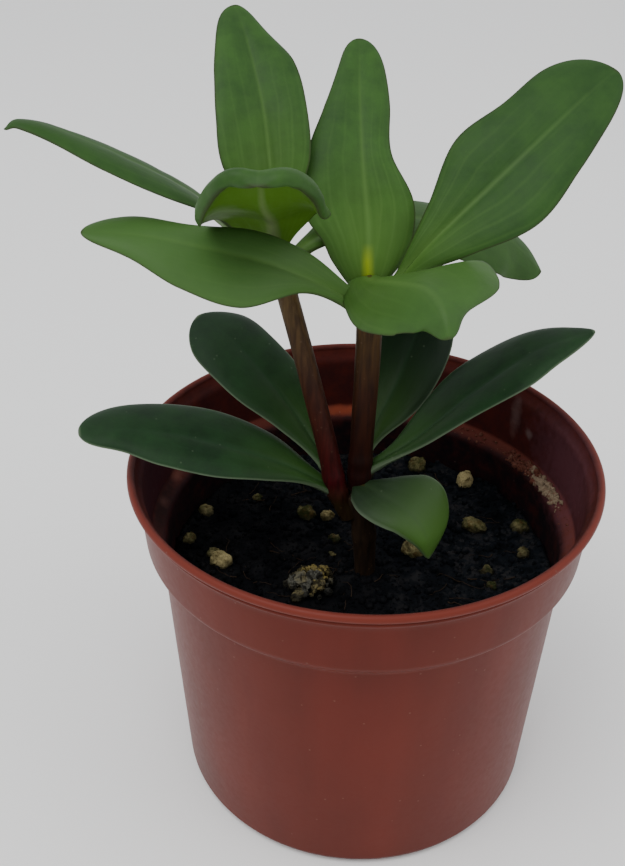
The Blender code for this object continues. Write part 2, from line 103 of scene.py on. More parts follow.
def adder(tree):
    """The function that adds a node to this tree, and its settings and links, and returns an output."""
    def add(kind, *feeds, out=0, **settings):
        kind, _, operation = kind.partition(".")
        node = tree.nodes.new(kind if "Node" in kind else "ShaderNode" + kind)
        if operation:
            settings["operation"] = operation
        for name, value in settings.items():
            setattr(node, name, value)
        by_key = {}
        for number, feed in enumerate(feeds):
            by_key.update(feed if isinstance(feed, dict) else {number: feed})
        for key, value in by_key.items():
            for feed in value if isinstance(value, list) else [value]:
                if isinstance(feed, bpy.types.NodeSocket):
                    tree.links.new(feed, node.inputs[key])
                else:
                    node.inputs[key].default_value = linear(feed) if str(feed).startswith("#") else feed
        return node.outputs[out] if len(node.outputs) else node
    return add


def pattern(add, kind, place, size, out=0, **more):
    """A texture, such as Noise or Voronoi, whose features are size mm wide. more are its other inputs."""
    return add("Tex" + kind, {"Vector": place, "Scale": 1 / (size * MM), **more}, out=out)


def new_tree(name, **sizes):
    """Begin a Geometry Nodes tree with a named input for each size and for the finish. Returns the
    function that adds its nodes, and its inputs by name."""
    tree = bpy.data.node_groups.new(name, "GeometryNodeTree")
    socket = tree.interface.new_socket
    socket("Geometry", in_out="INPUT", socket_type="NodeSocketGeometry")
    for label, value in sizes.items():
        kind = "NodeSocketInt" if isinstance(value, int) else "NodeSocketFloat"
        socket(label.replace("_", " "), in_out="INPUT", socket_type=kind).default_value = value
    socket("Finish", in_out="INPUT", socket_type="NodeSocketMaterial")
    socket("Geometry", in_out="OUTPUT", socket_type="NodeSocketGeometry")
    add = adder(tree)
    return add, tree.nodes.new("NodeGroupInput").outputs


def pushed(add, geometry, direction, depth):
    """The geometry with its points pushed along a direction by a depth."""
    push = add("VectorMath.SCALE", direction, {"Scale": depth})
    return add("GeometryNodeSetPosition", {"Geometry": geometry, "Offset": push})


def close_tree(add, geometry, finish):
    """End a tree and return it: real copies instead of instances, then the finish."""
    real = add("GeometryNodeRealizeInstances", geometry)
    dressed = add("GeometryNodeSetMaterial", {"Geometry": real, "Material": finish})
    return add("NodeGroupOutput", dressed).id_data


# %% Helpers for pieces
def as_mesh(name, shape):
    """The mesh that a bmesh holds."""
    mesh = bpy.data.meshes.new(name)
    shape.to_mesh(mesh)
    shape.free()
    return mesh


def keep_shape(piece):
    """Swap a piece's mesh for the shape that its modifiers give, and drop the modifiers."""
    graph = bpy.context.evaluated_depsgraph_get()
    mesh = bpy.data.meshes.new_from_object(piece.evaluated_get(graph))
    piece.modifiers.clear()
    piece.data = mesh
    return piece


def grow(piece, tree, **values):
    """Run a Geometry Nodes tree on a piece. Values go in by the identifier of the input so named."""
    step = piece.modifiers.new(tree.name, "NODES")
    step.node_group = tree
    for item in tree.interface.items_tree:
        label = item.name.lower().replace(" ", "_")
        if item.in_out == "INPUT" and label in values:
            step[item.identifier] = values[label]
    return keep_shape(piece)


def hand_in(piece, slot, *nodes):
    """The piece moves with the plant, gets smooth normals and stands for these solids, which are hidden.
    slot is not used.
    """
    piece.data.shade_smooth()
    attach(piece, "root")
    if nodes:
        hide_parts(*nodes)
    print(f"{piece.name}: {len(piece.data.polygons)} faces")


# %% [markdown]
# ## Floor and light
# The floor is a plain pale card. The light is that of a bright white room: it comes from all round,
# leaves soft shade under the leaves and puts a grey sheen on the pot's sides, where they are seen at a
# glance. One broad lamp above and to the left of the front models the leaves, and a weak one on the
# right opens their shade.

# %% Floor and light
def new_finish(name, hex_colour, roughness, gloss=0.5, ior=1.5):
    """A Principled material, the function that adds its nodes, its shader, and the place of a point on
    the piece. What is the same all over is set here."""
    material = bpy.data.materials.new(name)
    material.use_nodes = True
    shader = material.node_tree.nodes["Principled BSDF"]
    for label, value in (("Base Color", linear(hex_colour)), ("Roughness", roughness),
                         ("Specular IOR Level", gloss), ("IOR", ior)):
        shader.inputs[label].default_value = value
    add = adder(material.node_tree)
    return material, add, shader, add("TexCoord", out="Object")


HALF_FLOOR = 3.0      # metres
floor_mesh = bpy.data.meshes.new("floor")
corners = [(HALF_FLOOR * x, HALF_FLOOR * y, 0) for x, y in ((-1, -1), (1, -1), (1, 1), (-1, 1))]
floor_mesh.from_pydata(corners, [], [(0, 1, 2, 3)])
floor_mesh.materials.append(new_finish("matt_card", "#f6f6f4", 0.8)[0])
floor = add_piece("floor", floor_mesh)

sky = bpy.data.worlds.new("white_room")
sky.use_nodes = True
sky.node_tree.nodes["Background"].inputs["Color"].default_value = linear("#fbfcff")
sky.node_tree.nodes["Background"].inputs["Strength"].default_value = 1.0
bpy.context.scene.world = sky


def add_lamp(name, place, size, watts):
    """A square soft lamp, turned to the middle of the plant; place in metres."""
    lamp = bpy.data.lights.new(name, "AREA")
    lamp.size = size
    lamp.energy = watts
    piece = add_piece(name, lamp)
    piece.location = place
    piece.rotation_euler = (AIM - Vector(place)).to_track_quat("-Z", "Y").to_euler()


add_lamp("broad_lamp", (-0.25, -0.25, 0.75), 0.5, 3.2)
add_lamp("fill_lamp", (0.45, -0.15, 0.6), 0.4, 0.8)

# %% [markdown]
# ## The pot
# The pot is moulded in one go from polypropylene about a millimetre thick: a rolled lip, an upright
# band, a step in, and a wall that tapers so that the pot leaves its mould. It could be modelled from a
# cylinder with loops, but a thing that was turned in a lathe-cut mould is best turned again: draw half
# of its section, round the corners, and spin it with the Screw modifier. A Boolean then cuts the holes.

# %% The pot's section
POT_HEIGHT, LIP_RADIUS, LIP_HEIGHT, LIP_FLARE = 69.0, 42.5, 1.5, 3.0
BEAD_CENTRE, BEAD_RADIUS = (41.2, 66.7), 0.5      # a thin second bead under the lip
BAND_TOP, BAND_FOOT, BAND_HEIGHT = 40.8, 39.9, 14.3
STEP_IN, STEP_DROP = 2.5, 2.0
LEDGE_FOOT, LEDGE_TOP = 53.9, 55.6    # the step seen from inside, where grit collects
BASE_RADIUS, BASE_EDGE = 34.1, 1.3
WALL, FLOOR_THICKNESS = 1.0, 1.6
POT_SIDES = 192
CORNER = 0.7              # how far a corner's rounding reaches, in mm


def wall_radius(height):
    """The outer radius of the tapering wall at a height, in mm."""
    top = POT_HEIGHT - BAND_HEIGHT
    return BASE_RADIUS + (BAND_FOOT - STEP_IN - BASE_RADIUS) * height / top


def rounded(profile, reach, steps=5):
    """A profile whose corners are turned on small curves that start this far from each corner."""
    points = [np.array(point, float) for point in profile]
    result = [points[0]]
    for before, corner, after in zip(points, points[1:], points[2:]):
        back, on = before - corner, after - corner
        start = corner + back * min(reach / np.linalg.norm(back), 0.45)
        stop = corner + on * min(reach / np.linalg.norm(on), 0.45)
        for t in np.linspace(0, 1, steps):
            result.append((1 - t) ** 2 * start + 2 * t * (1 - t) * corner + t ** 2 * stop)
    return result + [points[-1]]


lip = LIP_HEIGHT / 2
band_foot = POT_HEIGHT - BAND_HEIGHT
step_foot = band_foot - STEP_DROP
band_start = POT_HEIGHT - LIP_FLARE


def arc(middle, radius, start, stop, steps):
    """Points on a circle in the section, between two angles in degrees."""
    turns = np.radians(np.linspace(start, stop, steps))
    return [(middle[0] + radius * math.cos(t), middle[1] + radius * math.sin(t)) for t in turns]


lip_arc = arc((LIP_RADIUS - lip, POT_HEIGHT - lip), lip, 200, -60, 15)
bead_arc = arc(BEAD_CENTRE, BEAD_RADIUS, 65, -75, 9)
inside = [(0, FLOOR_THICKNESS), (wall_radius(FLOOR_THICKNESS) - WALL, FLOOR_THICKNESS),
          (wall_radius(step_foot) - WALL, LEDGE_FOOT), (BAND_FOOT - WALL, LEDGE_TOP),
          (BAND_TOP - WALL, band_start), lip_arc[0]]
outside = [bead_arc[-1], (BAND_TOP + 0.1, band_start - 0.2), (BAND_TOP - 0.1, band_start - 1.0),
           (BAND_FOOT, band_foot + 0.8), (BAND_FOOT - 0.6, band_foot), (wall_radius(step_foot), step_foot),
           (BASE_RADIUS, BASE_EDGE), (BASE_RADIUS - BASE_EDGE, 0), (0, 0)]
section = rounded(inside, CORNER) + lip_arc[1:] + bead_arc[:-1] + rounded(outside, CORNER)
print("points in the pot's section:", len(section))

# %% Spin the section and cut the drainage holes
DRAIN_HOLES, DRAIN_RADIUS, DRAIN_CIRCLE = 6, 3.0, 23.0

mesh = bpy.data.meshes.new("pot_moulding")
links = [(k, k + 1) for k in range(len(section) - 1)]
mesh.from_pydata([(r * MM, 0, z * MM) for r, z in section], links, [])
pot = add_piece("pot_moulding", mesh)
spin = pot.modifiers.new("spin", "SCREW")
spin.steps = spin.render_steps = POT_SIDES
spin.use_merge_vertices = True
spin.merge_threshold = 0.02 * MM
holes = bmesh.new()
for k in range(DRAIN_HOLES):
    angle = 2 * math.pi * (k + 0.5) / DRAIN_HOLES
    place = (DRAIN_CIRCLE * MM * math.cos(angle), DRAIN_CIRCLE * MM * math.sin(angle), 0)
    bmesh.ops.create_cone(holes, cap_ends=True, segments=32, radius1=DRAIN_RADIUS * MM,
                          radius2=DRAIN_RADIUS * MM, depth=10 * MM, matrix=Matrix.Translation(place))
drills = add_piece("drain_holes", as_mesh("drain_holes", holes))
cut = pot.modifiers.new("drain", "BOOLEAN")
cut.operation = "DIFFERENCE"
cut.object = drills
keep_shape(pot)
bpy.data.objects.remove(drills)

# %% [markdown]
# A mesh can carry a number for each point, called an attribute, that its material reads. The pot gets
# one that is 0 outside and 1 inside, because the inside is dirtier and darker, with painted shade below
# the ledge and painted reflections on its sides. It is measured from the middle of the wall, so it changes
# over the lip's roundness instead of at a hard line.

# %% Mark the pot's inside
INNER_FADE = 0.8      # mm of wall over which outside turns to inside


def mid_wall(height):
    """The radius of the middle of the wall at a height, in mm."""
    heights = [FLOOR_THICKNESS, step_foot, band_foot + 1, band_start, POT_HEIGHT]
    radii = [wall_radius(FLOOR_THICKNESS), wall_radius(step_foot), BAND_FOOT, BAND_TOP, LIP_RADIUS - 0.4]
    return np.interp(height, heights, radii) - WALL / 2


def set_attribute(mesh, name, values):
    """Store one number for each point of a mesh."""
    attribute = mesh.attributes.new(name, "FLOAT", "POINT")
    attribute.data.foreach_set("value", np.asarray(values, np.float32))


def mesh_points(mesh):
    """A mesh's points as rows of x, y, z."""
    flat = np.zeros(3 * len(mesh.vertices))
    mesh.vertices.foreach_get("co", flat)
    return flat.reshape(-1, 3)


points = mesh_points(pot.data) / MM
radii = np.hypot(points[:, 0], points[:, 1])
depth_in = np.clip((mid_wall(points[:, 2]) - radii) / INNER_FADE + 0.5, 0, 1)
set_attribute(pot.data, "inner", np.where(points[:, 2] < 0.5 * FLOOR_THICKNESS, 0, depth_in))

# %% [markdown]
# The finish is coloured polypropylene: not glossy, not matt, a satin skin copied from the mould. Faint
# streaks of dust and water run down it, the lip is painted lighter, as painted light shining through the
# thin plastic with a painted highlight on its top, fine scuffs catch the light, and the inside is dark
# with soil dust, with painted shade below the ledge. It is made as a painter would: a first colour, then
# coat over coat, each with shares that say where it covers. All patterns are noise at sizes in millimetres.
#
# Single marks that stand out are smudges, and a few are painted light: a painted reflection on each
# side wall and a painted pool of light on the ledge. Each is the inside of a stretched ball round a place
# on the wall, with soft edges. The balls reach through the thin wall, so a smudge shows on the inside
# only, unless its last number says otherwise.

# %% Finish: satin moulded polypropylene
def paint(add, colour, *coats):
    """Lay coats over a first colour. A coat is its colour and its shares, which are multiplied."""
    for over, share, *more in coats:
        for also in more:
            share = add("Math.MULTIPLY", share, also)
        colour = add("Mix", {0: share, 6: colour, 7: over}, out=2, data_type="RGBA")
    return colour


def plug_in(add, shader, colour, relief, strength, depth, roughness=None):
    """Feed a shader its colour, a relief of this strength and depth in mm, and its varying roughness."""
    bump = add("Bump", {"Height": relief, "Strength": strength, "Distance": depth * MM})
    for label, feed in (("Base Color", colour), ("Normal", bump), ("Roughness", roughness)):
        if feed is not None:
            shader.id_data.links.new(feed, shader.inputs[label])


SMUDGES_AND_PAINTED_LIGHT = (   # middle and reach in mm, colour, strength, and how much of it shows outside
    ((40.0, 9.0, 61.0), (9.0, 26.0, 12.0), "#573138", 0.85, 0),  # painted reflection of the white room on the right wall
    ((-40.0, 6.0, 61.0), (9.0, 24.0, 12.0), "#40222a", 0.8, 0),  # and a painted reflection on the left one
    ((30.9, 24.4, 63.0), (1.4, 2.0, 6.0), "#6e5652", 0.5, 0),    # dried water under the right leaf
    ((33.3, 21.0, 60.6), (1.2, 1.4, 1.4), "#786864", 0.5, 0),
    ((-38.0, 4.0, 54.8), (4.0, 17.0, 1.8), "#24100e", 0.85, 0),  # darker on the left of the ledge
    ((-36.2, 13.4, 55.0), (1.7, 2.3, 1.5), "#74443a", 0.8, 0),   # two lighter places in it
    ((-37.4, 5.0, 55.0), (1.5, 2.0, 1.5), "#5c3a34", 0.7, 0),
    ((29.4, -29.3, 67.0), (0.5, 0.5, 0.4), "#1c0a08", 0.9, 1),   # a nick in the lip
    ((-2.0, 37.6, 55.2), (9.0, 2.2, 1.2), "#8a3c22", 0.7, 0),    # the ledge in light between the stems
)


def pot_finish():
    """Satin red-brown polypropylene. IOR 1.49; the skin is rough enough to blur what it reflects."""
    material, add, shader, place = new_finish("satin_polypropylene", "#581e12", 0.42, 0.13, 1.49)
    height = add("SeparateXYZ", place, out="Z")
    inner = add("Attribute", out="Fac", attribute_name="inner")
    stretched = add("Mapping", place, {"Scale": (1, 1, 0.12)})
    streaks = pattern(add, "Noise", stretched, 9, Detail=4.0)
    clouds = pattern(add, "Noise", place, 22, Detail=3.0)
    tone = add("MapRange", add("Math.ADD", streaks, clouds), 0.7, 1.3)
    # Painted light: the lip is lighter as light shining through the thin plastic, with a painted highlight
    # on its top.
    lip_glow_share = add("MapRange", height, (POT_HEIGHT - 2.4) * MM, (POT_HEIGHT - 1.0) * MM)
    dirt = pattern(add, "Noise", place, 4, Detail=8.0, Roughness=0.7)
    dirty = add("MapRange", dirt, 0.35, 0.6, 0.5, 0.95)
    ledge_off = add("Math.SUBTRACT", height, (LEDGE_TOP - 0.5) * MM)
    ledge_far = add("Math.ABSOLUTE", ledge_off)
    on_ledge = add("MapRange", ledge_far, 1.0 * MM, 0.5 * MM, 0.0, 0.75)
    # Painted shade with soil dust: the inside below the ledge is laid over with near black.
    dust_and_shade_below_ledge = add("MapRange", height, LEDGE_TOP * MM, (LEDGE_FOOT - 1.2) * MM)
    colour = paint(add, "#531b10", ("#5f2014", tone), ("#662a20", lip_glow_share), ("#341514", dirty, inner),
                   ("#703528", on_ledge, inner, dirty), ("#0b0b10", dust_and_shade_below_ledge, inner, dirty))
    ragged = pattern(add, "Noise", place, 1.4, Detail=5.0)
    # Smudges and painted light: the side walls' painted reflections and the ledge's painted pool of light.
    for middle, reach, hex_colour, strength, outside_share in SMUDGES_AND_PAINTED_LIGHT:
        offset = add("VectorMath.SUBTRACT", place, Vector(middle) * MM)
        shrunk = add("VectorMath.DIVIDE", offset, Vector(reach) * MM)
        far = add("VectorMath.LENGTH", shrunk, out="Value")
        frayed = add("Math.MULTIPLY_ADD", ragged, 0.9, far)
        here = add("MapRange", frayed, 1.45, 0.75, 0.0, strength)
        sided = add("Math.MAXIMUM", inner, outside_share)
        colour = paint(add, colour, (hex_colour, here, sided))
    specks = add("MapRange", pattern(add, "Voronoi", place, 3.2), 0.07, 0.04, 0.0, 0.4)
    colour = paint(add, colour, ("#8f7d72", specks, clouds))
    scuffs = add("MapRange", pattern(add, "Noise", place, 1.2, Detail=6.0), 0.3, 0.7, 0.38, 0.44)
    rough = add("Math.MULTIPLY_ADD", inner, 0.25, scuffs)
    plug_in(add, shader, colour, pattern(add, "Noise", place, 0.6, Detail=3.0), 0.08, 0.1, rough)
    return material


pot.data.materials.clear()
pot.data.materials.append(pot_finish())
hand_in(pot, "pot_plastic", "pot")

# %% [markdown]
# ## The soil
# Potting soil is dark peat with crumbs from dust to a few millimetres. A flat disc with a rocky picture
# on it never looks loose, so the surface is a real relief and real crumbs are strewn over it. A square
# grid bent to a disc keeps its squares even, which a ring of wedges doesn't, and noise raises its
# points. The rim is sorted by angle before the skirt is drawn down from it, so every run gives the same
# mesh, and the crumbs that are later scattered over it fall in the same places.

# %% The soil's bed
SOIL_TOP, SOIL_CLEAR = 46.0, 0.4
BED_SQUARES = 110
CLUMP_CENTRE = (-9.5, -8.6)
CLUMP_LEVEL = 5.5


def soil_height(x, y):
    """The soil's surface in mm: slow waves, level under the clump of perlite, and small lumps."""
    wave = math.sin(x / 7 + 1.0) * math.cos(y / 9) + 0.6 * math.sin((x - y) / 5)
    away = math.hypot(x - CLUMP_CENTRE[0], y - CLUMP_CENTRE[1])
    level = min(max((away - CLUMP_LEVEL) / CLUMP_LEVEL, 0.0), 1.0)
    lumps = noise.fractal(Vector((x, y, 0)) / 4.0, 1.0, 2.0, 4)
    return SOIL_TOP + 0.4 * wave * level + 0.7 * lumps


bed_radius = wall_radius(SOIL_TOP) - WALL - SOIL_CLEAR
bed_foot = FLOOR_THICKNESS + 0.3
bed = bmesh.new()
bmesh.ops.create_grid(bed, x_segments=BED_SQUARES, y_segments=BED_SQUARES, size=1.0)
for corner in bed.verts:
    u, v = corner.co.x, corner.co.y
    x, y = bed_radius * u * math.sqrt(1 - v * v / 2), bed_radius * v * math.sqrt(1 - u * u / 2)
    corner.co = Vector((x, y, soil_height(x, y))) * MM
rim = sorted((corner for corner in bed.verts if corner.is_boundary),
             key=lambda corner: math.atan2(corner.co.y, corner.co.x))
shrink = (wall_radius(bed_foot) - WALL - SOIL_CLEAR) / bed_radius
foot = [bed.verts.new((corner.co.x * shrink, corner.co.y * shrink, bed_foot * MM)) for corner in rim]
for k in range(len(rim)):
    bed.faces.new((rim[k - 1], foot[k - 1], foot[k], rim[k]))
bed.faces.new(foot[::-1])
bmesh.ops.recalc_face_normals(bed, faces=bed.faces)
soil = add_piece("soil_bed", as_mesh("soil_bed", bed))
print("soil surface radius", round(bed_radius, 1), "mm")

# %% [markdown]
# The finish is damp peat: nearly black, a little blue in the hollows, grey where a crumb has dried,
# with patches of dull gloss. Its front left is painted darker as painted shade, which fades out towards
# the back right, so a plain slope across the pot mixes the shaded colour with the plain one.

# %% Finish: damp peat
def peat_finish():
    """Damp peat: rough, nearly black, patchy at crumb size, with painted shade at the front left that fades
    towards the back right.
    """
    material, add, shader, place = new_finish("damp_peat", "#0a0a0c", 0.85, 0.08)
    toward_back_right = add("VectorMath.DOT_PRODUCT", place, (0.75, 0.66, 0), out="Value")
    out_of_painted_shade = add("MapRange", toward_back_right, -12 * MM, 18 * MM, interpolation_type="SMOOTHSTEP")
    patches = pattern(add, "Noise", place, 5, Detail=6.0)
    crumb_tone = add("SeparateXYZ", pattern(add, "Voronoi", place, 0.9, out="Color"))
    ramp = add("ValToRGB", add("Math.MULTIPLY_ADD", crumb_tone, 0.4, patches))
    stops = ramp.node.color_ramp.elements
    stops[0].position, stops[0].color = 0.45, linear("#06090c")
    stops[1].position, stops[1].color = 0.95, linear("#252425")
    stops.new(0.72).color = linear("#0f1318")
    # Painted shade: near black over the front left, fading out towards the back right.
    colour = paint(add, ramp, ("#020204", 0.82), (ramp, out_of_painted_shade))
    wet = add("MapRange", patches, 0.45, 0.65, 0.9, 0.55)
    plug_in(add, shader, colour, crumb_tone, 0.5, 0.3, wet)
    return material


peat = peat_finish()
soil.data.materials.append(peat)
hand_in(soil, "potting_soil", "soil")

# %% [markdown]
# The crumbs are one small faceted lump, copied some thousands of times. Geometry Nodes does this in one
# tree: scatter points on the faces that look up, put a lump on each with its own turn and size, make
# the copies real, and only then push every point about with noise. The noise is read at each lump's own
# place, so no two lumps keep the same shape.

# %% Crumbs strewn over the soil
FULL_TURN = 6.28


def crumb_tree():
    """Points over the faces that look up, a lump on each, roughened by noise."""
    add, given = new_tree("strewn_crumbs", Density=1.0, Spacing=0.5 * MM, Smallest=0.2 * MM,
                          Largest=1.0 * MM, Roughness=0.3 * MM, Seed=1)
    upward = add("SeparateXYZ", add("GeometryNodeInputNormal"), out="Z")
    spots = add("GeometryNodeDistributePointsOnFaces", {
        "Mesh": given["Geometry"], "Selection": add("FunctionNodeCompare.GREATER_THAN", upward, 0.3),
        "Distance Min": given["Spacing"], "Density Max": given["Density"], "Seed": given["Seed"]},
        distribute_method="POISSON")
    lump = add("GeometryNodeMeshIcoSphere", {"Radius": 1.0, "Subdivisions": 1})
    chance = add("FunctionNodeRandomValue", {2: 0.0, 3: 1.0, "Seed": given["Seed"]}, out=1)
    rare = add("Math.POWER", chance, 5.0)
    size = add("MapRange", rare, 0.0, 1.0, given["Smallest"], given["Largest"])
    turn = add("FunctionNodeRandomValue", (0, 0, 0), (FULL_TURN,) * 3, {"Seed": 5},
               data_type="FLOAT_VECTOR")
    copies = add("GeometryNodeInstanceOnPoints", {
        "Points": spots, "Instance": lump, "Rotation": turn, "Scale": size})
    real = add("GeometryNodeRealizeInstances", copies)
    wander = pattern(add, "Noise", add("GeometryNodeInputPosition"), 1.1, out="Color", Detail=1.0)
    centred = add("VectorMath.SUBTRACT", wander, (0.5, 0.5, 0.5))
    return close_tree(add, pushed(add, real, centred, given["Roughness"]), given["Finish"])


strewn = crumb_tree()
crumbs = grow(add_piece("soil_crumbs", soil.data.copy()), strewn, density=1.8e6, spacing=0.54 * MM,
              smallest=0.17 * MM, largest=1.0 * MM, roughness=0.7 * MM, seed=3, finish=peat)
hand_in(crumbs, "potting_soil", "soil")

# %% [markdown]
# ## Perlite
# Perlite is volcanic glass that was popped like corn: white when new, here stained yellow-green by
# algae. It keeps the soil airy. The grains lie where the solids have them. A point for each grain
# carries its size, and the tree puts a ball there and dents it with noise at three scales.

# %% Perlite grains
GRAINS = (   # x, y and size in mm, and how far algae have stained it
    (22.0, 24.0, 4.0, 0.0), (22.5, 10.0, 4.2, 0.7), (31.5, 10.0, 3.4, 0.75), (31.0, 2.0, 2.6, 0.6),
    (10.0, 1.5, 4.6, 0.6), (12.5, 30.0, 3.4, 0.8), (-10.5, 13.0, 3.2, 0.9), (-6.5, 12.0, 2.2, 0.5),
    (-5.0, 5.5, 2.6, 1.0), (-5.5, 0.5, 1.6, 0.8), (-26.5, -2.0, 3.8, 0.3), (-28.0, 0.5, 2.8, 0.8),
    (-33.0, 4.5, 2.8, 0.8), (-30.5, 14.0, 3.0, 0.55), (-20.5, 18.0, 2.2, 0.9), (23.5, -3.5, 2.2, 0.8),
    (24.0, -8.0, 2.2, 0.9), (3.0, -24.0, 2.6, 0.6), (-18.0, -20.0, 2.8, 0.5), (16.0, -18.0, 2.4, 0.7),
    (2.0, 27.0, 2.6, 0.8),
)
GRAIN_SHOWS = 0.6      # the share of a grain's height that stands out of the soil


def grain_tree():
    """A dented lump on each point, as large as the point's own size says and never quite round."""
    add, given = new_tree("popped_grains", Dent_Width=1.2 * MM, Dent_Depth=0.8 * MM, Seed=1)
    size = add("GeometryNodeInputNamedAttribute", "size", data_type="FLOAT")
    ball = add("GeometryNodeMeshIcoSphere", {"Radius": 0.5, "Subdivisions": 4})
    spans = ((0.75, 0.75, 0.65), (1.25, 1.25, 1.0)), ((-0.5, -0.5, 0), (0.5, 0.5, FULL_TURN))
    uneven, turn = (add("FunctionNodeRandomValue", *span, {"Seed": given["Seed"]}, data_type="FLOAT_VECTOR")
                    for span in spans)
    stretch = add("VectorMath.SCALE", uneven, {"Scale": size})
    copies = add("GeometryNodeInstanceOnPoints", {
        "Points": given["Geometry"], "Instance": ball, "Rotation": turn, "Scale": stretch})
    shape = add("GeometryNodeRealizeInstances", copies)
    place = add("GeometryNodeInputPosition")
    for share, reach in ((1.0, 1.0), (0.4, 0.45), (0.16, 0.2)):
        scale = add("Math.DIVIDE", 1.0, add("Math.MULTIPLY", given["Dent Width"], share))
        dents = add("TexNoise", {"Vector": place, "Scale": scale, "Detail": 2.0}, out="Color")
        centred = add("VectorMath.SUBTRACT", dents, (0.5, 0.5, 0.5))
        shape = pushed(add, shape, centred, add("Math.MULTIPLY", given["Dent Depth"], 2.0 * reach))
    return close_tree(add, shape, given["Finish"])


def perlite_finish(name, pale, stained, rust_and_shade, sunk_at, clean=0.54):
    """Expanded glass: chalky, full of tiny pits, stained green and with rust, dirty at the height sunk_at,
    in mm. clean is the noise's level above which the rust colour covers: the lower, the more rust. On the
    clump that colour is near black, as painted shade for the gaps between the lumps."""
    material, add, shader, place = new_finish(name, pale, 0.9, 0.2)
    height = add("SeparateXYZ", place, out="Z")
    tone = add("Attribute", out="Fac", attribute_name="tone")
    uneven = add("Math.MULTIPLY_ADD", pattern(add, "Noise", place, 1.6, Detail=5.0), 1.6, -0.8)
    stain = add("Math.ADD", tone, uneven, use_clamp=True)
    rust = pattern(add, "Noise", place, 1.1, Detail=3.0, Distortion=0.6)
    rust_and_shade_share = add("MapRange", rust, clean, clean + 0.12, 0.0, 0.85)
    pits = pattern(add, "Voronoi", place, 0.45)
    pit_share = add("MapRange", pits, 0.3, 0.05, 0.0, 0.7)
    sunk = add("MapRange", height, (sunk_at + 1.3) * MM, sunk_at * MM, 0.0, 0.85)
    colour = paint(add, pale, (stained, stain), (rust_and_shade, rust_and_shade_share), ("#1e1a10", pit_share),
                   ("#0d0d0a", sunk))
    plug_in(add, shader, colour, pits, 0.6, 0.25)
    return material


def grain_points(name, grains):
    """A mesh of points with a size and a tone each; grains are x, y, z, size and tone in mm."""
    mesh = bpy.data.meshes.new(name)
    mesh.from_pydata([Vector(grain[:3]) * MM for grain in grains], [], [])
    set_attribute(mesh, "size", [grain[3] * MM for grain in grains])
    set_attribute(mesh, "tone", [grain[4] for grain in grains])
    return mesh


popped = grain_tree()
perlite = perlite_finish("stained_perlite", "#a89a6c", "#2f3412", "#4c3c1c", SOIL_TOP)
sitting = [(x, y, soil_height(x, y) + (GRAIN_SHOWS - 0.5) * size, size, tone)
           for x, y, size, tone in GRAINS]
grains = grow(add_piece("perlite_grains", grain_points("perlite_grains", sitting)), popped,
              dent_width=1.5 * MM, dent_depth=0.75 * MM, seed=2, finish=perlite)
hand_in(grains, "perlite", "soil")

# %% [markdown]
# One clump of larger grains is crusted together near the front. The same tree makes its lumps from a
# spiral of points, each turned by the golden angle from the last, which fills a round patch evenly.
# Sizes differ much from lump to lump, so that dark gaps stay between them; the right side is yellow,
# the left grey.

# %% The crusty clump
GOLDEN_ANGLE = 2.4
CLUMP_SPREAD, CLUMP_GRAINS = 4.2, 46

draw = random.Random(4)
lumps = []
for k in range(CLUMP_GRAINS):
    share = k / (CLUMP_GRAINS - 1)
    reach = CLUMP_SPREAD * math.sqrt(share)
    x, y = reach * math.cos(k * GOLDEN_ANGLE), reach * math.sin(k * GOLDEN_ANGLE)
    rise = draw.uniform(0.2, 2.6) * (1.2 - share)
    yellow = x + y > 0.5 and x - y < 3.5
    grey = draw.uniform(0.0, 0.3) if yellow else draw.uniform(0.3, 1.2)
    place = (CLUMP_CENTRE[0] + x, CLUMP_CENTRE[1] + y, SOIL_TOP + 0.5 + rise)
    lumps.append((*place, draw.uniform(0.4, 3.0), grey))
# Painted shade: on the clump the rust colour is near black, laid on by noise for the dark gaps between
# lumps.
crusted = perlite_finish("crusted_perlite", "#83743e", "#57564d", "#0e0c08", SOIL_TOP + 1.2, 0.47)
clump = grow(add_piece("crusted_clump", grain_points("crusted_clump", lumps)), popped,
             dent_width=1.0 * MM, dent_depth=0.75 * MM, seed=5, finish=crusted)
hand_in(clump, "perlite", "perlite_clump")

# %% [markdown]
# Grit and lime have dried to a crust on the pot's ledge at the right. It is strewn like the soil's
# crumbs, over six strips of the ledge that overlap a little: a thin scatter at each end, rust-stained
# grit next to the back one, and pale lime where the crust is thickest.

# %% The crust on the ledge
LEDGE_RADII = (wall_radius(step_foot) - WALL + 0.4, BAND_FOOT - WALL - 0.6)
LEDGE_LEVELS = (LEDGE_FOOT + 0.1, LEDGE_TOP - 0.2)
grit = perlite_finish("rust_stained_grit", "#62372b", "#472219", "#6c4a3c", 0.0)
lime = perlite_finish("dried_lime", "#8a7862", "#5c4638", "#6a4436", 0.0)
CRUST_STRIPS = (   # from and to in degrees, per square metre, smallest and largest in mm, finish
    (60, 33, 1.3e6, 0.1, 0.45, grit), (36, 22, 6.0e6, 0.34, 0.85, grit), (28, 20, 2.5e6, 0.25, 0.8, lime),
    (22, 10, 7.0e6, 0.4, 0.9, lime), (12, 6, 2.0e6, 0.2, 0.7, lime), (9, -4, 1.3e6, 0.1, 0.45, grit))

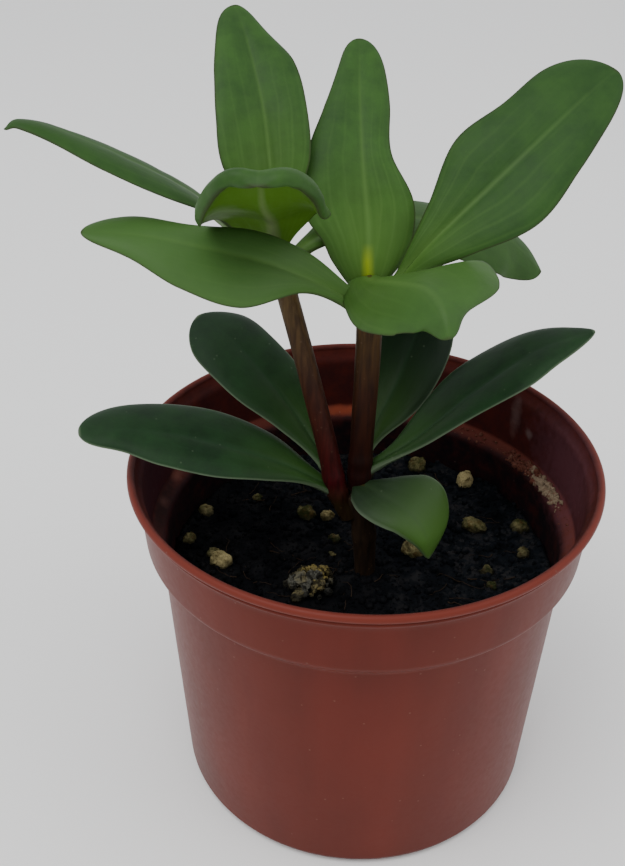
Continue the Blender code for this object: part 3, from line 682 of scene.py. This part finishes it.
for start, stop, density, smallest, largest, finish in CRUST_STRIPS:
    turns = np.radians(np.linspace(start, stop, 24))
    ring = [Vector((r * math.cos(t), r * math.sin(t), z)) * MM
            for t in turns for r, z in zip(LEDGE_RADII, LEDGE_LEVELS)]
    mesh = bpy.data.meshes.new("ledge_strip")
    mesh.from_pydata(ring, [], [(2 * k, 2 * k + 2, 2 * k + 3, 2 * k + 1) for k in range(len(turns) - 1)])
    crust = grow(add_piece(f"ledge_crust_{stop}", mesh), strewn, density=density, spacing=0.3 * MM,
                 smallest=smallest * MM, largest=largest * MM, roughness=0.8 * MM, seed=stop,
                 finish=finish)
    hand_in(crust, "perlite")

# %% [markdown]
# ## Curves through points
# Stems and leaves both follow smooth curves through a few given points. The curve is Catmull-Rom, which
# passes through every point, and it is read at equal shares of its length.

# %% Smooth curves
def smooth(points, places):
    """A smooth curve through points, read at places from 0 to the last point's number."""
    points = np.asarray(points, float).reshape(len(points), -1)
    ends = np.vstack([2 * points[0] - points[1], points, 2 * points[-1] - points[-2]])
    first = np.clip(np.floor(places).astype(int), 0, len(points) - 2)
    part = (np.asarray(places) - first)[:, None]
    a, b, c, d = (ends[first + k] for k in range(4))
    return 0.5 * (2 * b + (c - a) * part + (2 * a - 5 * b + 4 * c - d) * part ** 2
                  + (3 * b - a - 3 * c + d) * part ** 3)


def along_path(points, shares):
    """Points at given shares of the length of the smooth curve through points, and its length."""
    fine = smooth(points, np.linspace(0, len(points) - 1, 401))
    run = np.concatenate([[0], np.cumsum(np.linalg.norm(np.diff(fine, axis=0), axis=1))])
    places = np.asarray(shares) * run[-1]
    return np.stack([np.interp(places, run, fine[:, k]) for k in range(3)], axis=1), run[-1]


# %% [markdown]
# ## Stems
# A young stem is fleshy, red-brown and a little thicker at each joint where leaves sit. A tree sweeps a
# circle along the path, with the radius stored at each point, and roughens it along its length. The old
# stem is the same tree with a deeper roughness, so that it reads as bark.

# %% Stem shapes
STEMS = {
    "old_stem": {
        "path": ((0.8, -4.2, 31.0), (0.6, -4.2, 44.0), (0.2, -4.2, 54.0), (-1.0, -4.0, 64.0)),
        "radius": (1.6, 2.3), "dome": 0.6, "joints": (0.72, 0.97), "grain": 0.35,
    },
    "left_stem": {
        "path": ((-2.6, -4.2, 59.5), (-5.0, -4.0, 65.0), (-7.2, -3.5, 75.0), (-10.8, -2.5, 90.0),
                 (-14.4, -1.0, 104.0), (-16.0, 0.0, 109.8)),
        "radius": (1.9, 1.7), "dome": 1.4, "joints": (0.1, 0.17, 0.93), "grain": 0.1,
    },
    "right_stem": {
        "path": ((-1.2, -3.8, 65.2), (-0.8, -3.4, 78.0), (-0.4, -3.0, 92.0), (-0.4, -3.0, 102.8)),
        "radius": (2.0, 2.2), "dome": 1.2, "joints": (0.08, 0.16, 0.95), "grain": 0.1,
    },
}
STEM_STEPS = 90
JOINT_SWELL, JOINT_REACH = 0.22, 1.3      # mm that a joint is thicker, and how far along the stem


def line_mesh(name, lines):
    """A mesh of open lines; each is its points in mm and its radius in mm at each point."""
    points, edges, girth = [], [], []
    for line, radius in lines:
        edges += [(len(points) + k, len(points) + k + 1) for k in range(len(line) - 1)]
        points += [Vector(point) * MM for point in line]
        girth += [r * MM for r in radius]
    mesh = bpy.data.meshes.new(name)
    mesh.from_pydata(points, edges, [])
    set_attribute(mesh, "girth", girth)
    return mesh


def stem_line(stem):
    """A stem's middle line and its radius at each point, thicker at the joints, domed at the top."""
    shares = np.linspace(0, 1, STEM_STEPS)
    middle, length = along_path(stem["path"], shares)
    radius = np.interp(shares, [0, 1], stem["radius"])
    for joint in stem["joints"]:
        radius = radius + JOINT_SWELL * np.exp(-((shares - joint) * length / JOINT_REACH) ** 2)
    end, girth = middle[-1], radius[-1]
    ahead = (end - middle[-2]) / np.linalg.norm(end - middle[-2])
    for turn in np.radians(np.linspace(15, 88, 7)):
        middle = np.vstack([middle, end + ahead * stem["dome"] * math.sin(turn)])
        radius = np.append(radius, girth * math.cos(turn))
    return middle, radius


def stem_tree():
    """A circle swept along the line, with a grain that runs lengthwise."""
    add, given = new_tree("swept_stem", Sides=32, Grain_Depth=0.1 * MM)
    line = add("GeometryNodeMeshToCurve", given["Geometry"])
    girth = add("GeometryNodeInputNamedAttribute", "girth", data_type="FLOAT")
    ring = add("GeometryNodeCurvePrimitiveCircle", {"Resolution": given["Sides"], "Radius": 1.0})
    tube = add("GeometryNodeCurveToMesh", {
        "Curve": line, "Profile Curve": ring, "Scale": girth, "Fill Caps": True})
    stretched = add("VectorMath.MULTIPLY", add("GeometryNodeInputPosition"), (1, 1, 0.25))
    centred = add("Math.SUBTRACT", pattern(add, "Noise", stretched, 0.9, Detail=3.0), 0.5)
    depth = add("Math.MULTIPLY", centred, given["Grain Depth"])
    return close_tree(add, pushed(add, tube, add("GeometryNodeInputNormal"), depth), given["Finish"])


# %% Finishes: young red stem and old bark
def stem_finish(name, foot, low, middle, high, streak, roughness):
    """Plant skin: bark-coloured at the foot, dark red above it, browner and then greener near the
    leaves, with fine lengthwise streaks and small pale pores."""
    material, add, shader, place = new_finish(name, middle, roughness, 0.15)
    height = add("SeparateXYZ", place, out="Z")
    ramp = add("ValToRGB", add("MapRange", height, 60 * MM, 106 * MM))
    stops = ramp.node.color_ramp.elements
    stops[0].color, stops[1].color = linear(foot), linear(high)
    stops[0].position = 0.06
    stops.new(0.16).color = linear(low)
    stops.new(0.55).color = linear(middle)
    stretched = add("Mapping", place, {"Scale": (1, 1, 0.12)})
    streaks = pattern(add, "Noise", stretched, 0.7, Detail=4.0)
    streak_share = add("MapRange", streaks, 0.35, 0.65, 0.0, 0.65)
    pores = add("MapRange", pattern(add, "Voronoi", place, 1.6), 0.14, 0.08, 0.0, 0.3)
    colour = paint(add, ramp, (streak, streak_share), ("#5c4a38", pores))
    plug_in(add, shader, colour, streaks, 0.35, 0.2)
    return material


STEM_FINISHES = {
    "left_stem": stem_finish(
        "fleshy_red_stem", "#2e2410", "#420c11", "#3c1f12", "#5c4a28", "#1c0a08", 0.5),
    "right_stem": stem_finish(
        "fleshy_shaded_stem", "#120704", "#200705", "#341a0c", "#56411c", "#140806", 0.5),
    "old_stem": stem_finish("old_brown_bark", *["#2e2013"] * 4, "#0d0805", 0.85),
}
swept = stem_tree()
for name, stem in STEMS.items():
    slot = "old_bark" if name == "old_stem" else "young_stem"
    piece = grow(add_piece(name + "_skin", line_mesh(name, [stem_line(stem)])), swept,
                 grain_depth=stem["grain"] * MM, finish=STEM_FINISHES[name])
    hand_in(piece, slot, name)

# %% [markdown]
# Peat holds thin brown root fibres. They are short lines that wander over the soil, swept by the same
# tree with six sides and a very thin girth.

# %% Fibres in the soil
FIBRES, FIBRE_REACH = 70, 34.0
FIBRE_STEPS, FIBRE_STEP = 9, 0.6

draw = random.Random(11)
fibres = []
for _ in range(FIBRES):
    x, y = (draw.uniform(-FIBRE_REACH, FIBRE_REACH) for _ in "xy")
    heading = draw.uniform(0, 6.3)
    line = []
    for _ in range(FIBRE_STEPS):
        if math.hypot(x, y) < FIBRE_REACH:
            line.append((x, y, soil_height(x, y) + 0.25 + draw.uniform(0, 0.35)))
        heading += draw.uniform(-0.5, 0.5)
        x, y = x + FIBRE_STEP * math.cos(heading), y + FIBRE_STEP * math.sin(heading)
    if len(line) > 2:
        fibres.append((line, np.linspace(draw.uniform(0.07, 0.14), 0.04, len(line))))
fibre_finish = stem_finish("dry_root_fibre", *["#33261a"] * 4, "#1a120c", 0.8)
piece = grow(add_piece("soil_fibres", line_mesh("soil_fibres", fibres)), swept,
             sides=6, grain_depth=0.02 * MM, finish=fibre_finish)
hand_in(piece, "potting_soil", "soil")

# %% [markdown]
# ## Leaves
# A leaf is the main shape here, and every leaf follows one rule: a blade spread to both sides of a
# midrib. Each leaf is listed by the points of its midrib, the way its face looks at foot and tip, its
# half-widths at seven stations, and how much each half folds up and curls, in degrees. Where the halves
# fold differently, one has a list of its own. roll keeps the curl near the margin. tone mixes in the
# lighter colour from foot to tip, deep the darkest one, spot is a yellow mark near the foot, and rim
# thickens the margins of the leaf that hangs over like a hood.
#
# The lists repeat the solids' own sizes, so the finer blade fills the same place. Only three blades
# differ, by 2 mm or so near the foot: the right head's back leaf starts lower, its front leaf bulges to
# the left, and the left head's front leaf is broader, rolls its margins further and is thicker there.
#
# Leaves could be sculpted one by one, but thirteen sculpts drift apart in style. With one rule, each
# improvement reaches all thirteen.

# %% Leaf sizes
STATIONS = (0.0, 0.12, 0.3, 0.5, 0.7, 0.86, 1.0)
LEAVES = {
    "left_head_back_leaf": {
        "midrib": ((-16, 1.3, 110.4), (-16.6, 4.5, 119.5), (-18, 10, 129), (-20.5, 17, 136.5),
                   (-23, 23.6, 141.8)),
        "face": ((0.1, -0.9, 0.3), (0.26, -0.8, 0.54)),
        "left": (1.2, 3.6, 8, 8, 6.6, 5, 4), "right": (1.2, 3.2, 6.5, 7, 6.6, 3.8, 2.6),
        "fold": (30, 18, 5), "curl": (-15, -15),
    },
    "left_head_left_leaf": {
        "midrib": ((-15.2, 0, 105.6), (-21.5, 2, 111.1), (-28, -0.8, 118.2), (-36, -4.5, 124.6),
                   (-46.5, -6.5, 130.4), (-52.5, -7.7, 132.7), (-54.8, -8.2, 131.8)),
        "face": ((0.3, 0.1, 0.9), (0.3, 0.1, 0.9)),
        "left": (1.2, 1.6, 3.2, 6.4, 5.6, 3.6, 2.4), "right": (1.2, 1.8, 5.4, 6.8, 6.8, 5.2, 3.5),
        "fold": (10, -5), "curl": (-15, -25), "deep": 0.4,
    },
    "left_head_front_leaf": {
        "midrib": ((-16, -0.9, 109.8), (-16.2, -3.5, 115.6), (-16.5, -8.8, 119.5), (-17, -17, 124.8),
                   (-17, -22.5, 130.2), (-17, -25.5, 132.2), (-17.2, -27.6, 131.2)),
        "face": ((-0.15, 0.3, 1), (-0.15, 0.2, 1)),
        "left": (2.2, 6.2, 9.6, 10.4, 10.2, 8.2, 6.0), "right": (1.8, 6.2, 9.6, 11.2, 11.0, 8.4, 6.2),
        "fold": (22, 15, 11), "fold_left": (20, 6, -4), "curl": (-10, -70, -130, -120), "roll": 3,
        "tone": (0.1, 0.1), "rim": 1.8,
    },
    "left_head_right_leaf": {
        "midrib": ((-14.8, -0.6, 106), (-10, 3.8, 109), (-3, 9, 110.2), (10, 15.5, 108), (23.5, 20, 103),
                   (31.5, 20, 96.5)),
        "face": ((-0.1, -0.2, 1), (0.1, -0.3, 1)),
        "left": (1.2, 2, 6, 8.5, 8, 6, 4.5), "right": (1.2, 1.8, 5, 7, 8.5, 8, 5.5),
        "fold": (5, -5), "curl": (-15, -25), "tone": (0.3, 0.2),
    },
    "right_head_back_leaf": {
        "midrib": ((-0.8, 0.3, 102.6), (-1, 1.6, 107.5), (-1, 3.8, 112.5), (-2, 9, 121.5),
                   (-2.5, 17.5, 129.5), (-2.5, 26, 136)),
        "face": ((0.1, -0.9, 0.3), (0.03, -0.84, 0.54)),
        "left": (2.6, 6.2, 10.2, 9, 5.8, 3.8, 3.3), "right": (2.6, 6.4, 7.8, 4.8, 5, 4.6, 4),
        "fold": (12, 12, 6), "curl": (-15, -15), "spot": 0.9,
    },
    "right_head_right_leaf": {
        "midrib": ((0.9, -2, 101), (4.8, -1, 105.6), (9, -1, 111.2), (20.5, 2.5, 122), (30.5, 8, 130),
                   (38, 13.5, 135)),
        "face": ((-0.3, -0.7, 0.5), (-0.4, -0.75, 0.5)),
        "left": (1.2, 1.4, 4.6, 9.6, 8.8, 9, 8.4), "right": (1.2, 1.6, 6, 10, 8, 6, 4.5),
        "fold": (20, 5), "curl": (-15, -15), "deep": 0.4,
    },
    "right_head_front_leaf": {
        "midrib": ((-0.6, -1.4, 104.8), (0, -5.6, 106.4), (3, -11.5, 109.2), (7, -17, 111),
                   (9.3, -22, 110.2), (10, -25.5, 107.5)),
        "face": ((0, 0, 1), (0, 0, 1)),
        "left": (1.4, 3.2, 8.2, 15.6, 12.6, 4, 2.2), "right": (3, 5.6, 8.4, 8.5, 7.5, 5.5, 3),
        "fold": (6, 7, -8), "fold_right": (0, -26, -37, -38, -39, -40, -40), "curl": (-10, -20),
        "tone": (0.5, 0.35),
    },
    "right_head_left_leaf": {
        "midrib": ((-0.9, -3.5, 98.6), (-5.2, -5.8, 104.1), (-15.5, -10.2, 111.2), (-25, -11.8, 114.5),
                   (-35, -12.6, 116.9), (-44.3, -12.4, 117.7)),
        "face": ((0, -0.6, 0.8), (0.1, -0.3, 0.9)),
        "left": (1.6, 1.6, 2.6, 8.2, 7.2, 3.8, 2.2), "right": (1.2, 2.2, 4.8, 5.6, 4.6, 5.4, 5),
        "fold": (15, 0, 0), "fold_right": (25, 12, 0), "curl": (-15, -25), "tone": (1.0, 0.6),
    },
    "lower_back_left_leaf": {
        "midrib": ((-5.8, -3.8, 67.8), (-13, 4, 75.6), (-19, 10, 80.5), (-25, 15, 84.5), (-31, 19.5, 87)),
        "face": ((0.2, -0.4, 0.8), (0.2, -0.4, 0.8)),
        "left": (1.5, 2, 4.5, 7.2, 7.8, 7.4, 5.5), "right": (1.2, 2.6, 5.4, 6.8, 7.2, 7.2, 5.2),
        "fold": (20, 0), "curl": (-10, -20),
    },
    "lower_left_leaf": {
        "midrib": ((-4.7, -4.1, 64.2), (-15.5, -4.2, 70.3), (-29, -5, 75.5), (-40, -6, 78),
                   (-49.2, -8, 79)),
        "face": ((0.1, -0.3, 0.9), (0.1, -0.3, 0.9)),
        "left": (1.2, 1.6, 4.4, 6.6, 6.2, 4.2, 3.5), "right": (1.2, 2.4, 6, 7.8, 7.5, 6.6, 5.4),
        "fold": (10, 0), "curl": (-10, -20),
    },
    "lower_back_right_leaf": {
        "midrib": ((-0.9, -3.5, 71), (2.6, 4.6, 75), (6, 10.5, 79.2), (9.5, 17, 86), (12, 22.5, 91)),
        "face": ((-0.1, -0.8, 0.5), (-0.1, -0.8, 0.5)),
        "left": (1.2, 1.8, 4.6, 7.5, 8, 6.5, 4), "right": (1.2, 1.8, 4.6, 6.5, 7.2, 6.6, 4.6),
        "fold": (20, 0), "curl": (-10, -20), "deep": 0.8,
    },
    "lower_right_leaf": {
        "midrib": ((-1, -3.6, 68), (8.5, -2.6, 74.4), (18, -0.4, 82.4), (28, 2, 89.4), (38.5, 3.5, 93.5)),
        "face": ((-0.5, -0.2, 0.8), (-0.5, -0.2, 0.8)),
        "left": (1.2, 1.8, 5.4, 8, 7.5, 6, 3), "right": (1.2, 1.4, 3.2, 5, 6.2, 4.2, 2),
        "fold": (20, 0), "curl": (-10, -20),
    },
    "lower_front_leaf": {
        "midrib": ((-1.2, -4.4, 65.9), (1, -7.5, 67.2), (3.7, -10.5, 67.6), (7.4, -13.4, 66.4),
                   (10, -15.2, 63), (10.9, -16, 59)),
        "face": ((0.1, -0.5, 0.9), (0.5, -0.5, 0.6)),
        "left": (1.2, 2.4, 6.6, 9.6, 10.2, 8.8, 4.4), "right": (1.2, 3.8, 5.4, 5, 3.6, 2.2, 1),
        # Its tone paints light on its tip, and its finish is greyer as a painted sheen.
        "fold": (10, -10), "curl": (-10, -20), "tone": (-0.3, 1.0), "finish": "low_leaf",
    },
}
print("leaves:", len(LEAVES))

# %% [markdown]
# A leaf doesn't start at its blade. A short thick stalk, called a petiole, leaves the stem a little
# lower and runs into the midrib. Its green-brown skin hides where blade and stem meet, so each leaf
# gets one, swept by the stems' tree from a point inside its stem, past the blade's foot, to a little
# way up the midrib.

# %% Leaf stalks
STALK_DROP, STALK_RUN = 3.4, 3.0      # mm below the blade's foot, and mm up its midrib
STALK_GIRTH = (1.2, 1.25, 1.05, 0.75, 0.3)
LOW_ON_LEFT_STEM = ("lower_back_left_leaf", "lower_left_leaf")


def stalk_line(name, leaf):
    """The points of a leaf's stalk and its radius at each."""
    foot = np.array(leaf["midrib"][0], float)
    stem = "left_stem" if name.startswith("left") or name in LOW_ON_LEFT_STEM else "right_stem"
    heart = along_path(STEMS[stem]["path"], np.linspace(0, 1, 200))[0]
    start = heart[np.argmin(np.abs(heart[:, 2] - (foot[2] - STALK_DROP)))]
    middle, length = along_path(leaf["midrib"], np.linspace(0, 1, 200))
    run = [middle[int(199 * STALK_RUN * share / length)] for share in (0.33, 1.0)]
    path = (start, 0.5 * (start + foot) + 0.25 * (foot - run[1]) / STALK_RUN, foot, run[0], run[1])
    shares = np.linspace(0, 1, 14)
    return along_path(path, shares)[0], smooth(STALK_GIRTH, shares * 4)[:, 0]


stalks = [stalk_line(name, leaf) for name, leaf in LEAVES.items()]
stalk_finish = stem_finish(
    "green_brown_stalk", "#332c0e", "#2c3012", "#39401c", "#47521f", "#3c2412", 0.5)
piece = grow(add_piece("leaf_stalks", line_mesh("leaf_stalks", stalks)), swept,
             sides=20, grain_depth=0.08 * MM, finish=stalk_finish)
hand_in(piece, "young_stem")

# %% [markdown]
# The rule itself: at each share of the midrib, step out sideways in ten small steps, each turned a
# little more by the curl, so that a half bends smoothly instead of folding along a line.

# %% The blade's rule
FOOT_WIDTH, FOOT_CURVE = 1.1, 2.3     # no half is wider than this at its foot; it grows on a round curve
TIP_POWER = 14        # the tip is a round end: the higher, the blunter


def blade_points(leaf, shares, across):
    """Points on a leaf's middle surface, in mm, and each point's distances from the foot, from the
    midrib (signed) and from the margin. Shares run foot to tip, across from -1 (left) to 1 (right)."""
    middle, length = along_path(leaf["midrib"], shares)
    step = 0.02
    run = (along_path(leaf["midrib"], np.clip(shares + step, 0, 1))[0]
           - along_path(leaf["midrib"], np.clip(shares - step, 0, 1))[0])
    run /= np.linalg.norm(run, axis=1)[:, None]
    foot_face, tip_face = (np.array(face, float) for face in leaf["face"])
    up = foot_face * (1 - shares)[:, None] + tip_face * shares[:, None]
    up -= (up * run).sum(axis=1)[:, None] * run
    up /= np.linalg.norm(up, axis=1)[:, None]
    sideways = np.cross(run, up)
    places = np.interp(shares, STATIONS, range(len(STATIONS)))
    round_tip = np.sqrt(1 - shares ** TIP_POWER)
    from_foot = shares * length
    points, aside, inward = np.array(middle), np.zeros(len(shares)), 0.6 * length * (1 - shares)
    for sign, side in ((-1, "left"), (1, "right")):
        width = smooth(leaf[side], places)[:, 0] * round_tip
        width = np.minimum(width, FOOT_WIDTH + FOOT_CURVE * np.sqrt(from_foot) + from_foot)
        fold = leaf.get("fold_" + side, leaf["fold"])
        slope = np.radians(np.interp(shares, np.linspace(0, 1, len(fold)), fold))
        bend = np.radians(np.interp(shares, np.linspace(0, 1, len(leaf["curl"])), leaf["curl"]))
        reach = np.clip(sign * across, 0, None)
        aside += sign * width * reach
        inward = np.where(sign * across > 0, np.minimum(inward, width * (1 - reach)), inward)
        pieces = 10
        for k in range(pieces):
            angle = slope + bend * (reach * (k + 0.5) / pieces) ** leaf.get("roll", 1)
            out = (width * reach / pieces)[:, None]
            points += out * (sign * np.cos(angle)[:, None] * sideways + np.sin(angle)[:, None] * up)
    return points, from_foot, aside, inward


# %% [markdown]
# The rule gives a sheet without thickness. The sheet carries what later steps ask for: how far each
# point is from the foot and from the midrib, and how plump the leaf is there. Plumpness falls to
# nothing at the margin on a round curve, so the upper and the under side meet in a rounded edge.

# %% From the rule to a sheet
LEAF_ROWS, LEAF_COLUMNS = 110, 40
RIM_FROM, RIM_OVER = 0.45, 0.35      # where along the leaf a thick rim starts, and how soon it is full


def leaf_sheet(name, leaf):
    """The leaf's middle surface as a grid, finer towards its margins and its tip."""
    grid = bmesh.new()
    bmesh.ops.create_grid(grid, x_segments=LEAF_COLUMNS, y_segments=LEAF_ROWS, size=1.0)
    flat = np.array([corner.co[:2] for corner in grid.verts])
    across = np.sin(flat[:, 0] * math.pi / 2)
    shares = 1 - (0.5 - 0.5 * flat[:, 1]) ** 1.6
    points, run, aside, inward = blade_points(leaf, shares, across)
    for corner, place in zip(grid.verts, points * MM):
        corner.co = place
    mesh = as_mesh(name, grid)
    margin = np.sqrt(np.clip(1 - np.abs(across) ** 5, 0, 1))
    ends = np.sqrt(np.clip(1 - shares ** TIP_POWER, 0, 1)) * np.clip(shares / 0.01, 0, 1) ** 0.5
    rolled = 1 + leaf.get("rim", 0) * np.clip((shares - RIM_FROM) / RIM_OVER, 0, 1) * across ** 2
    plump = margin * ends * rolled * (1 + 0.5 * np.exp(-shares / 0.1))
    numbers = {"plump": plump, "share": shares, "across": across, "run": run * MM, "aside": aside * MM,
               "inward": inward * MM, "tone": np.interp(shares, (0, 1), leaf.get("tone", (0, 0)))}
    for label in ("deep", "spot"):
        numbers[label] = np.full(len(shares), leaf.get(label, 0))
    for label, values in numbers.items():
        set_attribute(mesh, label, values)
    return mesh


# %% [markdown]
# A tree makes the sheet fleshy. It takes it twice, pushes one copy up and the other, turned over, down
# by half of the thickness, and welds them at the margin. The midrib is a groove above and a keel below,
# and the surface swells softly with slow noise. The two copies are marked, so that the material can
# make the underside paler.

# %% The fleshy blade
def blade_tree():
    """A sheet made into a thick leaf with a groove above the midrib and a keel below it."""
    add, given = new_tree("fleshy_blade", Thickness=1.3 * MM, Groove_Depth=0.18 * MM,
                          Groove_Width=0.7 * MM, Keel_Height=0.35 * MM, Swell=0.4 * MM)
    plump, share, aside = (add("GeometryNodeInputNamedAttribute", label, data_type="FLOAT")
                           for label in ("plump", "share", "aside"))
    body = add("Math.MULTIPLY", add("Math.MULTIPLY", given["Thickness"], 0.5), plump)
    from_rib = add("Math.DIVIDE", aside, given["Groove Width"])
    negative = add("Math.MULTIPLY", add("Math.MULTIPLY", from_rib, from_rib), -1.0)
    fade = add("MapRange", share, 0.35, 1.0, 1.0, 0.0)
    rib = add("Math.MULTIPLY", add("Math.EXPONENT", negative), fade)
    slow = pattern(add, "Noise", add("GeometryNodeInputPosition"), 7, Detail=2.0)
    swell = add("Math.MULTIPLY", add("Math.SUBTRACT", slow, 0.5), given["Swell"])
    normal = add("GeometryNodeInputNormal")
    at_margin = add("Math.MINIMUM", plump, 1.0)
    sides = []
    for under, depth, sign in ((0.0, given["Groove Depth"], -1.0), (1.0, given["Keel Height"], 1.0)):
        relief = add("Math.MULTIPLY", rib, depth)
        shaped = add("Math.MULTIPLY_ADD", relief, sign, body)
        swollen = add("Math.MULTIPLY", add("Math.ADD", swell, shaped), at_margin)
        side = pushed(add, given["Geometry"], normal, add("Math.MULTIPLY", swollen, 1.0 - 2.0 * under))
        if under:
            side = add("GeometryNodeFlipFaces", side)
        marked = {"Geometry": side, "Name": "under", "Value": under}
        sides.append(add("GeometryNodeStoreNamedAttribute", marked, data_type="FLOAT", domain="FACE"))
    both = add("GeometryNodeJoinGeometry", sides)
    welded = add("GeometryNodeMergeByDistance", {"Geometry": both, "Distance": 0.004 * MM})
    return close_tree(add, welded, given["Finish"])


# %% [markdown]
# The finish of a leaf is waxy skin over green flesh. The veins hardly show: a pale midrib that fades
# towards the tip, and a few faint side veins that leave it at a low angle and run beside it. Both are
# worked out from the numbers that the sheet carries: how far across the half a point is, and how far up
# the leaf. Pale streaks fan out of the foot in the same way. The flesh is yellow-green near the foot,
# partly its own colour and partly a painted glow of light shining through the leaf, and deep green
# towards the tip, less so where a leaf's tone is light, and a thin line follows the margin.

# %% Finish: waxy leaf skin
VEIN_GAP, VEIN_RISE = 0.28, 0.3        # side veins, as shares of the half's width


def leaf_finish(name, deepest, shade, light, toned, foot, vein, under_side, margin,
                speckle, roughness, rim=0.35):
    """Waxy leaf skin. IOR 1.45 with little gloss: the bloom on the wax scatters most of the shine. rim is
    the width of the margin's line in mm."""
    material, add, shader, place = new_finish(name, light, roughness, 0.18, 1.45)
    share, across, run, aside, inward, under, tone, deep, spot = (
        add("Attribute", out="Fac", attribute_name=label) for label in
        ("share", "across", "run", "aside", "inward", "under", "tone", "deep", "spot"))
    mottle = pattern(add, "Noise", place, 6, Detail=6.0, Roughness=0.65)
    off_rib = add("Math.ABSOLUTE", across)
    # Painted light in part: the yellow-green near the foot also stands for light shining through the leaf.
    foot_colour_and_glow = add("MapRange", run, 26 * MM, 1 * MM, 0.0, 0.85, interpolation_type="SMOOTHSTEP")
    foot_inner = add("MapRange", off_rib, 1.0, 0.2, 0.45, 1.0)
    untoned = add("MapRange", tone, 0.0, 1.0, 1.0, 0.35)
    mottled = add("MapRange", mottle, 0.35, 0.65)
    flesh = paint(add, shade, (light, mottled), (deepest, deep), (toned, tone),
                  (foot, foot_colour_and_glow, foot_inner, untoned), (under_side, under, 0.85))

    wander = add("Math.MULTIPLY_ADD", pattern(add, "Noise", place, 8, Detail=1.0), 0.16, off_rib)
    level = add("Math.MULTIPLY_ADD", share, -VEIN_RISE, wander)
    from_vein = add("Math.PINGPONG", level, VEIN_GAP / 2)
    side_line = add("MapRange", from_vein, 0.05, 0.0, 0.0, 0.15, interpolation_type="SMOOTHSTEP")
    side_veins = add("Math.MULTIPLY", side_line, add("MapRange", share, 0.85, 0.25))
    fan_place = add("Mapping", add("CombineXYZ", across, share), {"Scale": (7, 0.9, 1)})
    fan = add("TexNoise", {"Vector": fan_place, "Scale": 1.0, "Detail": 2.0})
    fan_line = add("MapRange", fan, 0.45, 0.75, 0.0, 0.2)
    fans = add("Math.MULTIPLY", fan_line, add("MapRange", share, 0.6, 0.1, 0.15, 1.0))
    rib_width = add("MapRange", share, 0.0, 1.0, 1.2 * MM, 0.4 * MM)
    away = add("Math.ABSOLUTE", aside)
    rib_line = add("MapRange", add("Math.DIVIDE", away, rib_width), 1.0, 0.1, 0.0, 0.4)
    rib = add("Math.MULTIPLY", rib_line, add("MapRange", share, 0.95, 0.3, 0.1, 1.0))
    lines = add("Math.MAXIMUM", side_veins, rib)
    veins = add("Math.MAXIMUM", lines, fans)

    dots = add("MapRange", pattern(add, "Voronoi", place, 2.6), 0.09, 0.04, 0.0, speckle)
    spot_run = add("MapRange", run, 7.5 * MM, 4.5 * MM)
    spot_near = add("MapRange", away, 1.5 * MM, 0.1 * MM, 0.0, spot, interpolation_type="SMOOTHSTEP")
    edge = add("MapRange", inward, rim * MM, 0.05 * MM, 0.0, 0.6)
    colour = paint(add, flesh, (vein, veins), ("#7a7a62", rib, under), ("#7d8a70", dots),
                   ("#86981a", spot_run, spot_near), (margin, edge))
    cells, leather = (pattern(add, "Noise", place, size, Detail=2.0) for size in (0.5, 2.5))
    relief = add("Math.MULTIPLY_ADD", cells, 0.2, leather)
    height = add("Math.MULTIPLY_ADD", lines, -0.6, relief)
    gloss = add("MapRange", mottle, 0.3, 0.7, roughness - 0.04, roughness + 0.06)
    plug_in(add, shader, colour, height, 0.3, 0.25, gloss)
    return material


LEAF_FINISHES = {   # the small low leaf is greyer than the other lower ones, a painted sheen, its tip is painted lighter as painted light, and it has a broader pale margin
    "head_leaf": leaf_finish(
        "waxy_young_leaf", "#1a3812", "#254319", "#325420", "#446431", "#476a24", "#597a3c", "#426414",
        "#2e2a1c", 0.0, 0.52),
    "lower_leaf": leaf_finish(
        "waxy_old_leaf", "#0a1c0c", "#122814", "#1a361a", "#2e4720", "#2f4d18", "#26402a", "#1c301a",
        "#66745c", 0.15, 0.48),
    "low_leaf": leaf_finish(
        "waxy_lit_leaf", "#0a1c0c", "#162216", "#1f2d1e", "#4c722e", "#22331e", "#33452c", "#1c301a",
        "#62705a", 0.15, 0.47, 0.6),
}

# %% Grow the thirteen leaves
fleshy = blade_tree()
for name, leaf in LEAVES.items():
    slot = "lower_leaf" if name.startswith("lower") else "head_leaf"
    piece = grow(add_piece(name + "_blade", leaf_sheet(name, leaf)), fleshy,
                 finish=LEAF_FINISHES[leaf.get("finish", slot)])
    hand_in(piece, slot, name)
